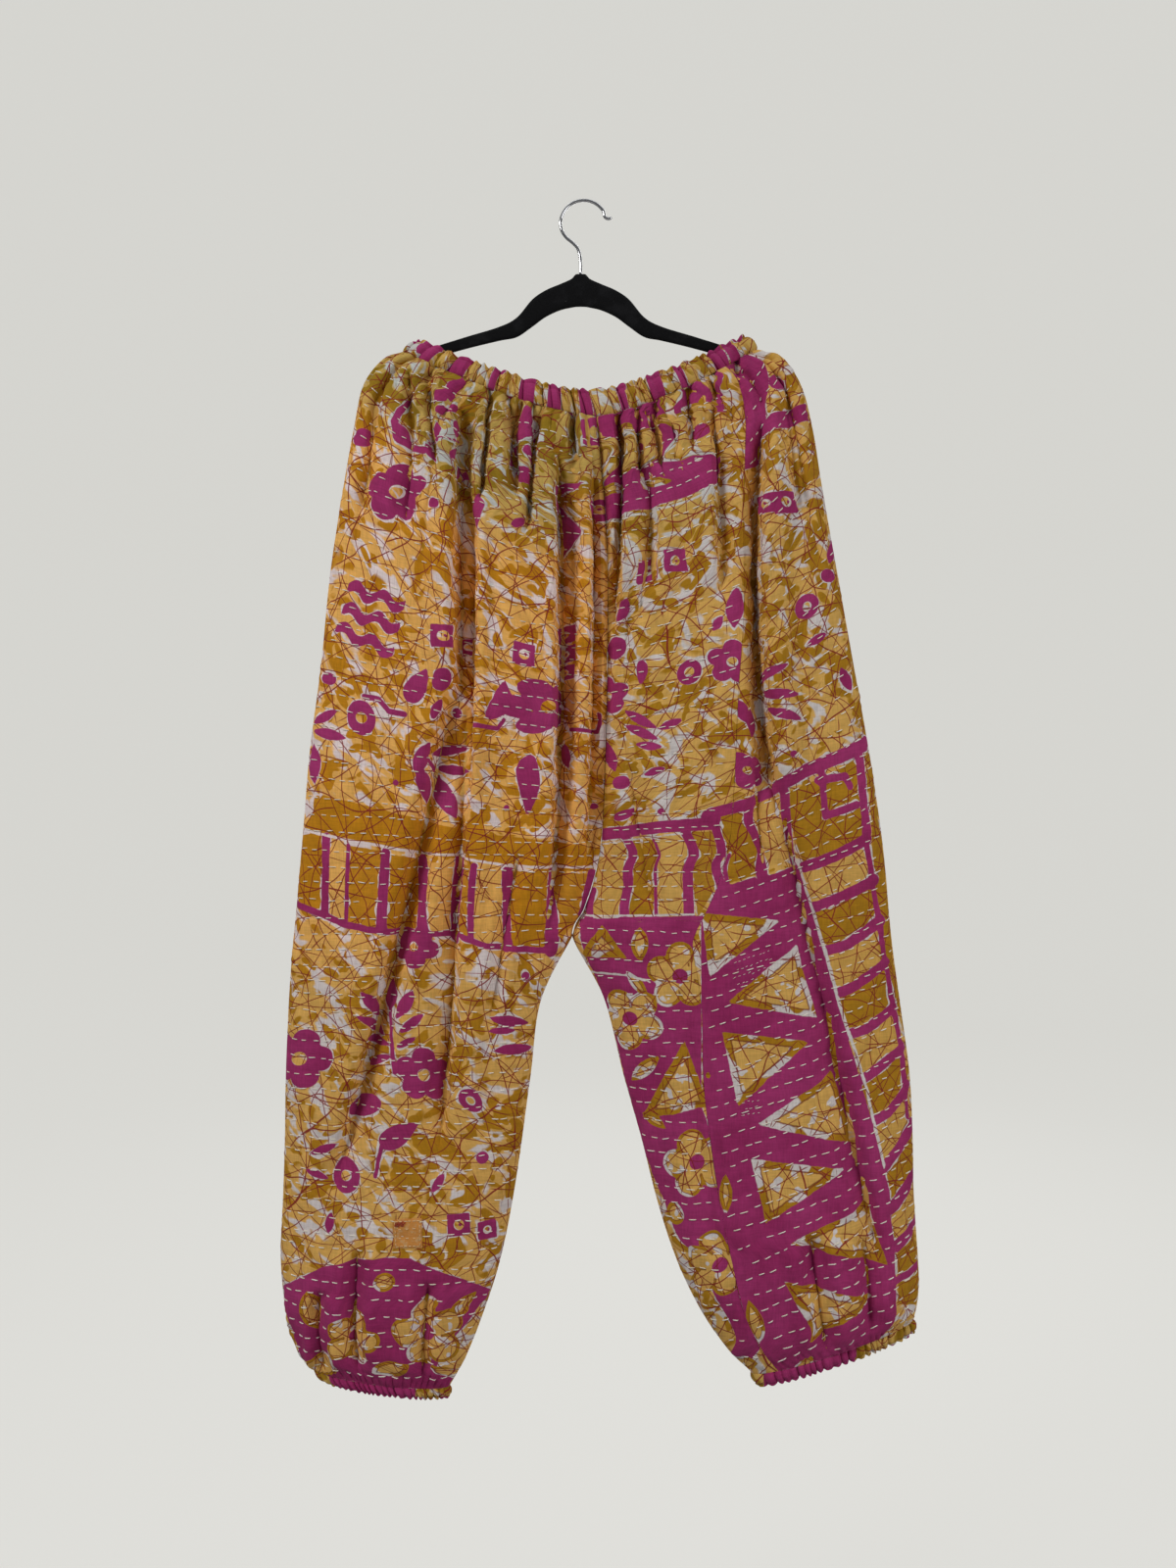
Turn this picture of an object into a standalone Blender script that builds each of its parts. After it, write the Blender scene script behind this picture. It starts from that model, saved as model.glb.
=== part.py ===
"""Quilted cotton joggers hung by their gathered waist on a flocked clothes hanger.

Metres, +Z up. The front faces -Y and the wearer's left leg is at +X. The origin is the inside top of
the hook's crook, where a rail carries the hanger. Sizes below are real ones, in millimetres.
"""

import math

import bmesh
import bpy
import numpy as np

MM = 0.001

# ---------------------------------------------------------------- driving sizes (millimetres)
CLOTH = 1.8             # two layers of cotton, quilted together
SEAM_GAP = 0.3          # between neighbouring pieces
SEAM_SPARE = 0.05       # more on each side where a seam's two walls lean
CROTCH_SPARE = 0.35     # more where the centre seam slants into the crotch
PIECING_SPARE = 0.1     # more on each side of the left front's upright seam, which folds cross
RING_GAP = 0.7          # from a panel's edge line to the casing sewn to it
EDGE_FADE = 9.0         # folds die out this near to a seam
GATHERS_PER_PANEL = 7.5  # soft gathers below the waist casing, in a quarter of the waist
GATHER_DEPTH = 4.0
PATCH_CLOTH = 1.0
PATCH_LIFT = 0.4

# One row for each level down the joggers. The right leg's outer and inner edges, then the left leg's,
# seen from the front: x across and z up from the crook. Down to the crotch the inner edges are the one
# seam at the centre. front and back are the cloth's reach before and behind the hanger's plane, parted
# is how far the legs' own tubes have formed, and piecing is where the left front's upright seam stands,
# as a share of the width from the outer edge.
LEVEL_COLUMNS = ("right_out_x", "right_out_z", "right_in_x", "right_in_z",
                 "left_out_x", "left_out_z", "left_in_x", "left_in_z",
                 "front", "back", "parted", "piecing")
LEVELS = {
    "waist":     (-175, -146, 12, -213, 167, -144, 12, -213, 17, 17, 0.00, 0.20),
    "shoulder":  (-194, -153, 15, -237, 191, -152, 15, -237, 20, 20, 0.02, 0.24),
    "tip":       (-213, -178, 18, -270, 210, -178, 18, -270, 24, 24, 0.06, 0.29),
    "hip_top":   (-222, -219, 21, -308, 221, -219, 21, -308, 27, 28, 0.12, 0.34),
    "hip":       (-232, -275, 23, -362, 230, -275, 23, -362, 30, 33, 0.20, 0.38),
    "seat":      (-245, -360, 23, -427, 245, -360, 23, -427, 32, 37, 0.30, 0.42),
    "thigh_top": (-254, -450, 22, -498, 261, -450, 22, -498, 33, 38, 0.42, 0.48),
    "thigh":     (-265, -534, 20, -564, 276, -534, 20, -564, 33, 37, 0.54, 0.52),
    "rise_low":  (-271, -607, 17, -619, 287, -607, 17, -619, 32, 35, 0.67, 0.55),
    "rise_end":  (-275, -652, 10, -656, 292, -652, 10, -656, 31, 33, 0.79, 0.58),
    "fork":      (-278, -688, 0, -686, 295, -688, 0, -686, 30, 32, 0.91, 0.61),
    "crotch":    (-281, -718, -11, -710, 298, -718, -11, -710, 29, 31, 1.00, 0.63),
    "upper":     (-285, -773, -42, -773, 305, -771, 20, -771, 29, 30, 1.00, 0.68),
    "knee":      (-288, -845, -52, -845, 315, -845, 39, -845, 29, 30, 1.00, 0.73),
    "calf_top":  (-289, -911, -61, -911, 318, -906, 57, -909, 30, 31, 1.00, 0.755),
    "calf":      (-291, -971, -71, -975, 319, -959, 72, -968, 32, 33, 1.00, 0.765),
    "balloon":   (-293, -1022, -83, -1030, 322, -1006, 90, -1023, 34, 35, 1.00, 0.78),
    "ankle_top": (-289, -1068, -99, -1079, 324, -1044, 112, -1070, 33, 34, 1.00, 0.81),
    "ankle":     (-280, -1106, -115, -1119, 322, -1070, 139, -1110, 28, 29, 1.00, 0.83),
    "cuff":      (-262, -1129, -130, -1146, 318, -1083, 163, -1134, 18, 18, 1.00, 0.85),
}
LEVEL_NAMES = list(LEVELS)
CROTCH = LEVEL_NAMES.index("crotch")
HEM = LEVEL_NAMES.index("cuff")
SEAM_ACROSS_LEFT_LEG = LEVEL_NAMES.index("fork") + 0.3   # the left front's level seam, as a level

# Free edges of the gathered rings, as each side's outer and inner end (x, z), and their reach in depth.
WAIST_TOP = {"right": ((-159, -134), (4, -187)), "left": ((153, -131), (4, -187))}
CUFF_BOTTOM = {"right": ((-249, -1142), (-130, -1157)), "left": ((319, -1095), (168, -1147))}
FREE_EDGE_REACH = 15
WAIST_RING = {"gathers": 60, "wall": 4.0, "puff": 1.0, "ripple": 1.3}
CUFF_RING = {"gathers": 24, "wall": 2.6, "puff": 0.6, "ripple": 0.7}
COLUMNS_PER_GATHER = 4

# One row for each large fold: where it starts and ends (z), its path (x at the start, middle and end),
# how deep it sinks, its half width, and the height of the soft ridge beside it.
FOLD_COLUMNS = ("z_start", "z_end", "x_start", "x_middle", "x_end", "depth", "width", "ridge")
FRONT_FOLDS = {
    "right_deep":      (-181, -500, -117, -118, -117, 18, 12, 6),
    "right_outer":     (-455, -960, -121, -176, -240, 13, 14, 6),
    "right_inner":     (-455, -950, -112, -121, -141, 11, 12, 4),
    "right_hip":       (-196, -330, -158, -166, -171, 5, 9, 2),
    "right_front":     (-195, -300, -62, -63, -64, 7, 8, 3),
    "right_centre":    (-225, -720, -26, -20, -36, 13, 10, 5),
    "centre":          (-205, -700, 13, 22, -2, 6, 13, 2),
    "left_centre":     (-540, -690, 42, 54, 68, 4, 10, 2),
    "left_front":      (-250, -390, 61, 65, 70, 5, 9, 3),
    "left_hip":        (-225, -390, 132, 131, 128, 6, 9, 3),
    "left_deep":       (-205, -620, 172, 166, 188, 17, 11, 7),
    "left_outer":      (-560, -1068, 183, 238, 292, 14, 13, 7),
    "left_thigh":      (-540, -650, 160, 166, 170, 5, 9, 3),
    "left_knee":       (-760, -1040, 100, 112, 138, 4, 13, 3),
    "right_shin":      (-1000, -1132, -213, -217, -214, 6, 9, 3),
    "right_shin_side": (-1040, -1132, -250, -252, -246, 5, 7, 3),
    "right_calf":      (-1030, -1140, -148, -152, -156, 5, 9, 3),
    "left_shin":       (-985, -1110, 214, 222, 232, 6, 10, 3),
    "left_shin_side":  (-990, -1090, 262, 270, 272, 5, 9, 3),
}
BACK_FOLDS = {
    "right_outer":  (-190, -470, -165, -176, -190, 8, 12, 3),
    "right_deep":   (-200, -640, -112, -122, -150, 12, 13, 4),
    "right_middle": (-210, -380, -62, -66, -74, 7, 10, 3),
    "right_leg":    (-610, -1090, -150, -196, -222, 9, 15, 4),
    "right_inner":  (-760, -1010, -92, -104, -128, 5, 12, 3),
    "centre":       (-210, -700, 13, 22, -2, 6, 13, 2),
    "left_middle":  (-215, -420, 74, 82, 88, 8, 10, 3),
    "left_deep":    (-195, -590, 128, 142, 172, 12, 13, 4),
    "left_outer":   (-190, -400, 178, 188, 200, 6, 11, 3),
    "left_leg":     (-640, -1050, 150, 186, 236, 9, 15, 4),
    "left_inner":   (-780, -1050, 84, 104, 150, 5, 12, 3),
    "right_shin":   (-1010, -1132, -218, -214, -208, 5, 9, 3),
    "left_shin":    (-960, -1100, 268, 262, 256, 5, 9, 3),
}

# The hanger: distance out from its middle, top edge and bottom edge of its flat body.
HANGER_MIDDLE = -3
HANGER_THICK = 5.0
HANGER_STATIONS = {
    "neck":     (0, -70.3, -101.5),
    "collar":   (5, -70.6, -101.7),
    "throat":   (9, -75.0, -102.4),
    "arch":     (20, -80.0, -105.0),
    "bend_top": (34, -86.0, -111.5),
    "bend":     (47, -95.0, -121.0),
    "bend_low": (62, -112.5, -131.0),
    "arm_top":  (79, -121.5, -134.5),
    "arm":      (110, -131.0, -142.0),
    "arm_low":  (141, -140.8, -151.0),
    "hidden":   (172, -152.2, -162.4),
    "end":      (190.8, -159.5, -169.9),
}
HANGER_TIP = {"upper": (3.9, -3.1), "middle": (5.2, -6.4), "lower": (3.1, -9.7)}   # past the end's top
HANGER_ROUNDING = 1.1
WIRE_RADIUS = 1.5
CROOK_RADIUS = 22.5
CROOK_SPAN = (185, 32)     # degrees from +X, over the top
WIRE_STEM = ((-3, -70.3), (-3, -62), (-3.6, -53), (-6, -45), (-11, -39.5), (-16.5, -35), (-20.8, -29))
WIRE_LIP = ((20.4, -14.4), (23.6, -16.4), (27.2, -15.6))

# ---------------------------------------------------------------- colours (linear) and finishes
COTTON = {"colour": (0.56, 0.30, 0.07), "roughness": 0.88, "metallic": 0.0}
COTTON_PINK = {"colour": (0.32, 0.05, 0.16), "roughness": 0.88, "metallic": 0.0}
PATCH_COTTON = {"colour": (0.55, 0.22, 0.05), "roughness": 0.85, "metallic": 0.0}
FLOCK = {"colour": (0.004, 0.004, 0.005), "roughness": 0.95, "metallic": 0.0}
CHROME = {"colour": (0.75, 0.75, 0.76), "roughness": 0.16, "metallic": 1.0}


def clear_scene():
    for obj in list(bpy.data.objects):
        bpy.data.objects.remove(obj, do_unlink=True)


def collection_named(name):
    found = bpy.data.collections.new(name)
    bpy.context.scene.collection.children.link(found)
    return found


def material(name, finish):
    made = bpy.data.materials.new(name)
    made.use_nodes = True
    shader = made.node_tree.nodes["Principled BSDF"]
    shader.inputs["Base Color"].default_value = (*finish["colour"], 1.0)
    shader.inputs["Roughness"].default_value = finish["roughness"]
    shader.inputs["Metallic"].default_value = finish["metallic"]
    return made


def object_from(name, points_mm, faces, look, parts):
    """A named mesh object from an array of points in millimetres."""
    mesh = bpy.data.meshes.new(name)
    mesh.from_pydata((np.asarray(points_mm) * MM).tolist(), [], faces)
    mesh.validate()
    mesh.materials.append(look)
    obj = bpy.data.objects.new(name, mesh)
    parts.objects.link(obj)
    mesh.shade_smooth()
    return obj


# ---------------------------------------------------------------- the cloth's form
def between(values, level):
    """Catmull-Rom curve through one value for each level, read at a level that may lie between two."""
    values = np.asarray(values, float)
    padded = np.concatenate([[2 * values[0] - values[1]], values, [2 * values[-1] - values[-2]]])
    start = np.clip(np.floor(level).astype(int), 0, len(values) - 2)
    t = np.asarray(level) - start
    a, b, c, d = (padded[start + k] for k in range(4))
    return 0.5 * (2 * b + (c - a) * t + (2 * a - 5 * b + 4 * c - d) * t**2 + (3 * b - a - 3 * c + d) * t**3)


def column(name, level):
    at = LEVEL_COLUMNS.index(name)
    return between([row[at] for row in LEVELS.values()], level)


def inner_edge(side, axis, level):
    """A leg's inner edge. Down to the crotch both legs share one line: the mean of their two curves."""
    shared = (column("right_in_" + axis, level) + column("left_in_" + axis, level)) / 2
    return np.where(level <= CROTCH, shared, column(side + "_in_" + axis, level))


def soft_step(value, start, end):
    t = np.clip((value - start) / (end - start), 0.0, 1.0)
    return t * t * (3 - 2 * t)


def lens(across, parted):
    """Depth of the flattened tube at a share of its width, from 0 at an edge to 1 at the fullest.

    Two closed curves are blended: one lens over the whole garment, whose middle is the centre seam, and
    one for a leg alone, which closes at both edges. The blend is made on the curves, so that the cleft
    between the legs opens as a V with a finite slope.
    """
    turn = np.linspace(0.0, math.pi, 721)
    depth = np.empty_like(across)
    for row, share in enumerate(parted):
        wide = (1 - share) * (1 - np.cos(turn / 2)) + share * (1 - np.cos(turn)) / 2
        deep = (1 - share) * np.sin(turn / 2) + share * np.sin(turn)
        depth[row] = np.interp(across[row], wide, deep)
    return depth


def fold_depth(folds, x, z):
    """Sum of the named folds: each is a rounded trough along its path, with a soft ridge on one side."""
    total = np.zeros_like(x)
    for row in folds.values():
        fold = dict(zip(FOLD_COLUMNS, row))
        run = (z - fold["z_start"]) / (fold["z_end"] - fold["z_start"])
        path = (fold["x_start"] * (1 - run) * (1 - 2 * run) + fold["x_middle"] * 4 * run * (1 - run)
                + fold["x_end"] * run * (2 * run - 1))
        ends = soft_step(run, 0.0, 0.16) * (1 - soft_step(run, 0.78, 1.0))
        side = (x - path) / fold["width"]
        trough = fold["depth"] * np.exp(-side**2)
        ridge = fold["ridge"] * np.exp(-((np.abs(side) - 1.75) ** 2) * 1.6)
        total += ends * (trough - ridge)
    return total


def gather_depth(across, level, face):
    """Soft gathers that fall from the casing: waves across the cloth, uneven in depth and length."""
    spread = GATHERS_PER_PANEL * (1 - across)
    uneven = 0.95 + 0.4 * np.sin(9.1 * across + (0.4 if face == "front" else 2.1))
    reach = 3.4 + 1.5 * np.sin(13.7 * across + (1.9 if face == "front" else 0.3))
    fall = soft_step(level, -0.8, 1.6) * (1 - soft_step(level, 0.45 * reach, 1.5 * reach))
    return GATHER_DEPTH * uneven * fall * np.cos(2 * math.pi * spread)


def tube_edge(outer, inner, reach, across, parted):
    """x, depth and z along one face of a tube, from its outer end to its inner end, both as (x, z).

    The line between the ends sags like a hung waistband while the tube is still one lens.
    """
    sag = 1.0 + 0.5 * (1 - parted)
    x = outer[0] + (inner[0] - outer[0]) * across
    z = inner[1] + (outer[1] - inner[1]) * (1 - across) ** sag
    return x, reach * lens(across, parted[:, 0]), z


def tube_at(side, face, across, level):
    """The cloth's form without folds, at a level."""
    outer = column(side + "_out_x", level), column(side + "_out_z", level)
    inner = inner_edge(side, "x", level), inner_edge(side, "z", level)
    parted = np.clip(column("parted", level), 0.0, 1.0)
    return tube_edge(outer, inner, column(face, level), across, parted)


def stand(face, x, depth, z):
    """Points before the middle plane for a front, behind it for a back."""
    return np.stack([x, -depth if face == "front" else depth, z], axis=-1)


def cloth_points(side, face, across, level):
    """Middle of the cloth's wall, in millimetres, for arrays of the share across and the level."""
    x, reach, z = tube_at(side, face, across, level)
    width = np.abs(inner_edge(side, "x", level) - column(side + "_out_x", level))
    parted = np.clip(column("parted", level), 0.0, 1.0)
    sink = fold_depth(FRONT_FOLDS if face == "front" else BACK_FOLDS, x, z)
    sink += gather_depth(across, level, face)
    sink *= 1 - np.exp(-(across * width / EDGE_FADE) ** 2)
    sink *= 1 - parted**6 * np.exp(-((1 - across) * width / EDGE_FADE) ** 2)
    if side == "left" and face == "front":
        from_piecing = (across - column("piecing", level)) * width
        sink *= 1 - 0.75 * np.exp(-(from_piecing / EDGE_FADE) ** 2)
    sink *= 1 - 0.8 * soft_step(level, HEM - 0.5, HEM)
    room = 0.8 * reach + 1e-6
    sink = np.where(sink > 0, room * np.tanh(sink / room), sink)
    return stand(face, x, reach - sink, z)


# Shares of a panel's width where its columns stand: close together at a rounded edge.
EDGE_COLUMNS = (0.0, 0.001, 0.007, 0.022, 0.048)
FLAT_EDGE_COLUMNS = (0.0, 0.01, 0.04)
FRONT_ROWS = (0, 0.5, 1, 1.5, 2, 2.7, 3.5, 4.3, 5.2, 6.1, 7, 8, 9, 10, 10.6, 11, 12, 13, 14, 15, 16, 17, 18,
              18.5, 19)
BACK_ROWS = (0, 0.5, 1, 1.5, 2, 3, 4, 5, 6, 7, 8, 9, 10, 11, 12, 13.5, 15, 16, 17, 18, 18.6, 19)


def columns_between(first_round, last_round, middle_count):
    """Shares from 0 to 1, dense beside each rounded edge and even between."""
    head = list(EDGE_COLUMNS if first_round else FLAT_EDGE_COLUMNS)
    tail = [1 - share for share in reversed(EDGE_COLUMNS if last_round else FLAT_EDGE_COLUMNS)]
    middle = np.linspace(head[-1], tail[0], middle_count + 2)[1:-1]
    return np.array(head + list(middle) + tail)


def panel_grid(side, face, rows, shares, left_share, right_share):
    """Grid of wall points for a piece between two shares of the width, given as one value a level."""
    level = np.repeat(np.asarray(rows, float)[:, None], len(shares), axis=1)
    first = left_share(level)
    last = right_share(level)
    across = first + (last - first) * shares[None, :]
    grid = cloth_points(side, face, across, level)
    inward = 1.0 if side == "right" else -1.0
    outward = -1.0 if face == "front" else 1.0
    if left_share is OUTER_EDGE:
        # The outer edge meets the other face square on, half a gap before the middle plane.
        grid[:, 0] = grid[:, 1]
        grid[:, 0, 1] = outward * SEAM_GAP / 2
    if right_share is INNER_EDGE:
        # Above the crotch it meets the other leg, leaning back into the cleft. Below it meets the back.
        step = grid[:, -1] - grid[:, -2]
        lean = np.abs(step[:, 1]) / np.hypot(step[:, 0], step[:, 1])
        above = level[:, -1] <= CROTCH
        slant = CROTCH_SPARE * column("parted", level[:, -1]) ** 4
        clearance = np.where(above, SEAM_GAP / 2 + CLOTH / 2 * lean + SEAM_SPARE + slant, 0)
        grid[:, :, 0] -= inward * clearance[:, None] * shares[None, :] ** 2
        closed = column("parted", level[:, -1]) > 0.999
        grid[closed, -1] = grid[closed, -2]
        nearest = SEAM_GAP / 2 + (CLOTH / 2 * (1 - lean) + SEAM_SPARE) * ~closed
        grid[:, -1, 1] = outward * np.maximum(np.abs(grid[:, -1, 1]) * ~closed, nearest)
    return grid


def OUTER_EDGE(level):
    return np.zeros_like(level)


def INNER_EDGE(level):
    return np.ones_like(level)


def piecing_outer(level):
    """The upright seam of the left front, as the side piece's inner edge."""
    return column("piecing", level) - (SEAM_GAP / 2 + PIECING_SPARE) / left_width(level)


def piecing_inner(level):
    """The same seam, as the inner pieces' outer edge."""
    return column("piecing", level) + (SEAM_GAP / 2 + PIECING_SPARE) / left_width(level)


def left_width(level):
    return column("left_out_x", level) - inner_edge("left", "x", level)


def grid_faces(rows, columns, turned):
    """Quads of a grid, turned over where the piece's columns run the other way."""
    faces = []
    for row in range(rows - 1):
        for at in range(columns - 1):
            corner = row * columns + at
            quad = (corner, corner + columns, corner + columns + 1, corner + 1)
            faces.append(quad[::-1] if turned else quad)
    return faces


def cloth_piece(name, grid, turned, look, parts, thick=CLOTH, offset=0.0):
    rows, columns = grid.shape[:2]
    obj = object_from(name, grid.reshape(-1, 3), grid_faces(rows, columns, turned), look, parts)
    wall = obj.modifiers.new("Wall", "SOLIDIFY")
    wall.thickness = thick * MM
    wall.offset = offset
    return obj


def rows_between(rows, first, last):
    """The rows inside a stretch of levels, with its two ends."""
    return [first] + [row for row in rows if first + 0.05 < row < last - 0.05] + [last]


def build_panels(looks, parts):
    """The four quarters: right front, the pieced left front, and the two backs."""
    grids = {}
    full = columns_between(True, True, 24)
    grids["right_front"] = panel_grid("right", "front", FRONT_ROWS, full, OUTER_EDGE, INNER_EDGE)
    fork, crotch = LEVELS["fork"], LEVELS["crotch"]
    level_drop = fork[LEVEL_COLUMNS.index("left_in_z")] - crotch[LEVEL_COLUMNS.index("left_in_z")]
    gap_in_levels = (SEAM_GAP / 2 + SEAM_SPARE) / level_drop
    upper = rows_between(FRONT_ROWS, 0, SEAM_ACROSS_LEFT_LEG - gap_in_levels)
    lower = rows_between(FRONT_ROWS, SEAM_ACROSS_LEFT_LEG + gap_in_levels, HEM)
    side = columns_between(True, False, 10)
    inner = columns_between(False, True, 12)
    inner_low = columns_between(False, True, 6)
    grids["left_front_side"] = panel_grid("left", "front", FRONT_ROWS, side, OUTER_EDGE, piecing_outer)
    grids["left_front_upper"] = panel_grid("left", "front", upper, inner, piecing_inner, INNER_EDGE)
    grids["left_front_lower"] = panel_grid("left", "front", lower, inner_low, piecing_inner, INNER_EDGE)
    back = columns_between(True, True, 15)
    grids["right_back"] = panel_grid("right", "back", BACK_ROWS, back, OUTER_EDGE, INNER_EDGE)
    grids["left_back"] = panel_grid("left", "back", BACK_ROWS, back, OUTER_EDGE, INNER_EDGE)
    for name, grid in grids.items():
        turned = name.startswith("left") == name.endswith("back")
        look = looks["cotton_pink"] if name == "left_front_side" else looks["cotton"]
        cloth_piece(name, grid, turned, look, parts)
    return grids


# ---------------------------------------------------------------- gathered rings
def edge_loop(sides, columns, edge, seamed=False):
    """Points once round a tube's edge, across the fronts and back across the backs.

    edge(side, face, across) gives one face's points, from its outer end to its inner end. A seamed loop
    also has a point on each side of the seams at its outer ends, half a gap off the middle plane.
    """
    share = (np.arange(columns) + 0.5) / columns
    share = 0.5 * share + 0.25 * (1 - np.cos(math.pi * share))
    if seamed:
        share = np.concatenate([[0.0], share])
    points = []
    for face, order in (("front", sides), ("back", sides[::-1])):
        for side in order:
            forward = (side == "right") == (face == "front")
            line = edge(side, face, share)
            if seamed:
                line[0, 1] = SEAM_GAP / 2 * (-1 if face == "front" else 1)
            points.append(line if forward else line[::-1])
    return np.concatenate(points)


def sewn_edge(level):
    """The edge of the panels, as a ring's sewn side."""
    def edge(side, face, across):
        at = across[None, :]
        return stand(face, *tube_at(side, face, at, np.full_like(at, level)))[0]
    return edge


def free_edge(ends, parted):
    """A ring's free side, between the named ends of each side."""
    def edge(side, face, across):
        outer, inner = ends[side]
        return stand(face, *tube_edge(outer, inner, FREE_EDGE_REACH, across[None, :], np.array([[parted]])))[0]
    return edge


def casing_rows(near, far, sizes):
    """Lines round a casing, from the loop near a panel to its free edge, puffed and gathered outside.

    Its section has a flat inner face and a rounded outer one. The gathers are waves on the outer face
    and on the free edge.
    """
    wall, puff, ripple = sizes["wall"], sizes["puff"], sizes["ripple"]
    along = np.roll(near, -1, axis=0) - np.roll(near, 1, axis=0)
    rise = far - near
    height = np.linalg.norm(rise, axis=1, keepdims=True)
    rise = rise / height
    out = np.cross(along, rise)
    out /= np.linalg.norm(out, axis=1, keepdims=True)
    out *= np.sign((out * (near - near.mean(axis=0))).sum())
    count = len(near)
    phase = 2 * math.pi * np.arange(count) / COLUMNS_PER_GATHER
    wave = (np.cos(phase + 0.6 * np.sin(phase / 3.1)) * (0.8 + 0.2 * np.sin(phase / 2.3)))[:, None]
    profile = (     # share of the height, distance out from the middle, its wave, the wave along the height
        (0.0, -wall / 2, 0.0, 0.0),
        (0.97, -wall / 2, 0.0, 0.0),
        (1.0, wall * 0.35, 0.5 * ripple, 0.8 * ripple),
        (0.55, wall / 2 + puff, ripple, 0.0),
        (0.0, wall * 0.35, 0.6 * ripple, 0.0),
    )
    rows = []
    for up, away, swing, lift in profile:
        point = near + rise * (RING_GAP + up * (height - RING_GAP)) + out * (away + swing * wave)
        rows.append(point + rise * lift * np.roll(wave, 1, axis=0))
    return np.stack(rows, axis=1)


def band(name, sections, closed, look, parts):
    """A solid through sections that each hold one closed line of points: a ring, or a strip with ends."""
    count, size = sections.shape[:2]
    faces = []
    for at in range(count if closed else count - 1):
        here, after = at * size, (at + 1) % count * size
        for step in range(size):
            following = (step + 1) % size
            faces.append((here + step, after + step, after + following, here + following))
    if not closed:
        last = (count - 1) * size
        faces += [tuple(range(size)), tuple(range(last + size - 1, last - 1, -1))]
    obj = object_from(name, sections.reshape(-1, 3), faces, look, parts)
    point_outwards(obj)


def point_outwards(obj):
    work = bmesh.new()
    work.from_mesh(obj.data)
    bmesh.ops.recalc_face_normals(work, faces=work.faces)
    work.to_mesh(obj.data)
    work.free()


def build_rings(looks, parts):
    """The waist casing's front and back, which meet at the side seams, then a casing on each hem."""
    quarter = WAIST_RING["gathers"] * COLUMNS_PER_GATHER // 4
    near = edge_loop(("right", "left"), quarter, sewn_edge(0.0), seamed=True)
    far = edge_loop(("right", "left"), quarter, free_edge(WAIST_TOP, 0.0), seamed=True)
    sections = casing_rows(near, far, WAIST_RING)
    half = len(sections) // 2
    for face, stretch in (("front", sections[:half]), ("back", sections[half:])):
        outward = -1 if face == "front" else 1
        depth = np.maximum(outward * stretch[:, :, 1], SEAM_GAP / 2)
        depth[[0, -1]] = SEAM_GAP / 2
        stretch[:, :, 1] = outward * depth
        band("waist_casing_" + face, stretch, False, looks["cotton"], parts)
    half = CUFF_RING["gathers"] * COLUMNS_PER_GATHER // 2
    for side, look in (("right", "cotton"), ("left", "cotton_pink")):
        near = edge_loop((side,), half, sewn_edge(float(HEM)))
        far = edge_loop((side,), half, free_edge(CUFF_BOTTOM, 1.0))
        band(side + "_cuff", casing_rows(near, far, CUFF_RING), True, looks[look], parts)


# ---------------------------------------------------------------- mend patch on the right shin
PATCH_MIDDLE = (-171, -999)     # x and z
PATCH_SIZE = 27
PATCH_POINTS = 5                # along each side


def build_patch(grid, look, parts):
    """A square of cloth on the right front: points of that panel, moved out to lie on it."""
    heights = grid[:, :, 2].mean(axis=1)
    row = int((heights > PATCH_MIDDLE[1]).sum()) - 1
    ends = [np.interp(PATCH_MIDDLE[0] + side * PATCH_SIZE / 2, grid[row, :, 0], np.arange(grid.shape[1]))
            for side in (-1, 1)]
    columns = np.linspace(ends[0], ends[1], PATCH_POINTS)
    drop = heights[row] - heights[row + 1]
    middle = row + (heights[row] - PATCH_MIDDLE[1]) / drop
    half = PATCH_SIZE / 2 / drop
    rows = np.linspace(middle - half, middle + half, PATCH_POINTS)
    normal = np.cross(np.gradient(grid, axis=1), np.gradient(grid, axis=0))
    normal /= np.linalg.norm(normal, axis=2, keepdims=True)
    normal *= -np.sign(normal[:, :, 1:2])
    lifted = grid + normal * (CLOTH / 2 + PATCH_LIFT + PATCH_CLOTH / 2)
    points = np.array([[grid_point(lifted, r, c) for c in columns] for r in rows])
    cloth_piece("shin_patch", points, False, look, parts, PATCH_CLOTH)


def grid_point(grid, row, at):
    """A point between a grid's four nearest points."""
    r, c = int(row), int(at)
    a, b = row - r, at - c
    top = grid[r, c] * (1 - b) + grid[r, c + 1] * b
    low = grid[r + 1, c] * (1 - b) + grid[r + 1, c + 1] * b
    return top * (1 - a) + low * a


# ---------------------------------------------------------------- hanger
def line_curve(name, points, dimensions, look, parts):
    """A curve object on straight segments through points in millimetres."""
    curve = bpy.data.curves.new(name, "CURVE")
    curve.dimensions = dimensions
    spline = curve.splines.new("POLY")
    spline.points.add(len(points) - 1)
    for point, place in zip(spline.points, points):
        point.co = (*(value * MM for value in place), 1)
    curve.materials.append(look)
    obj = bpy.data.objects.new(name, curve)
    parts.objects.link(obj)
    return obj


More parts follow.
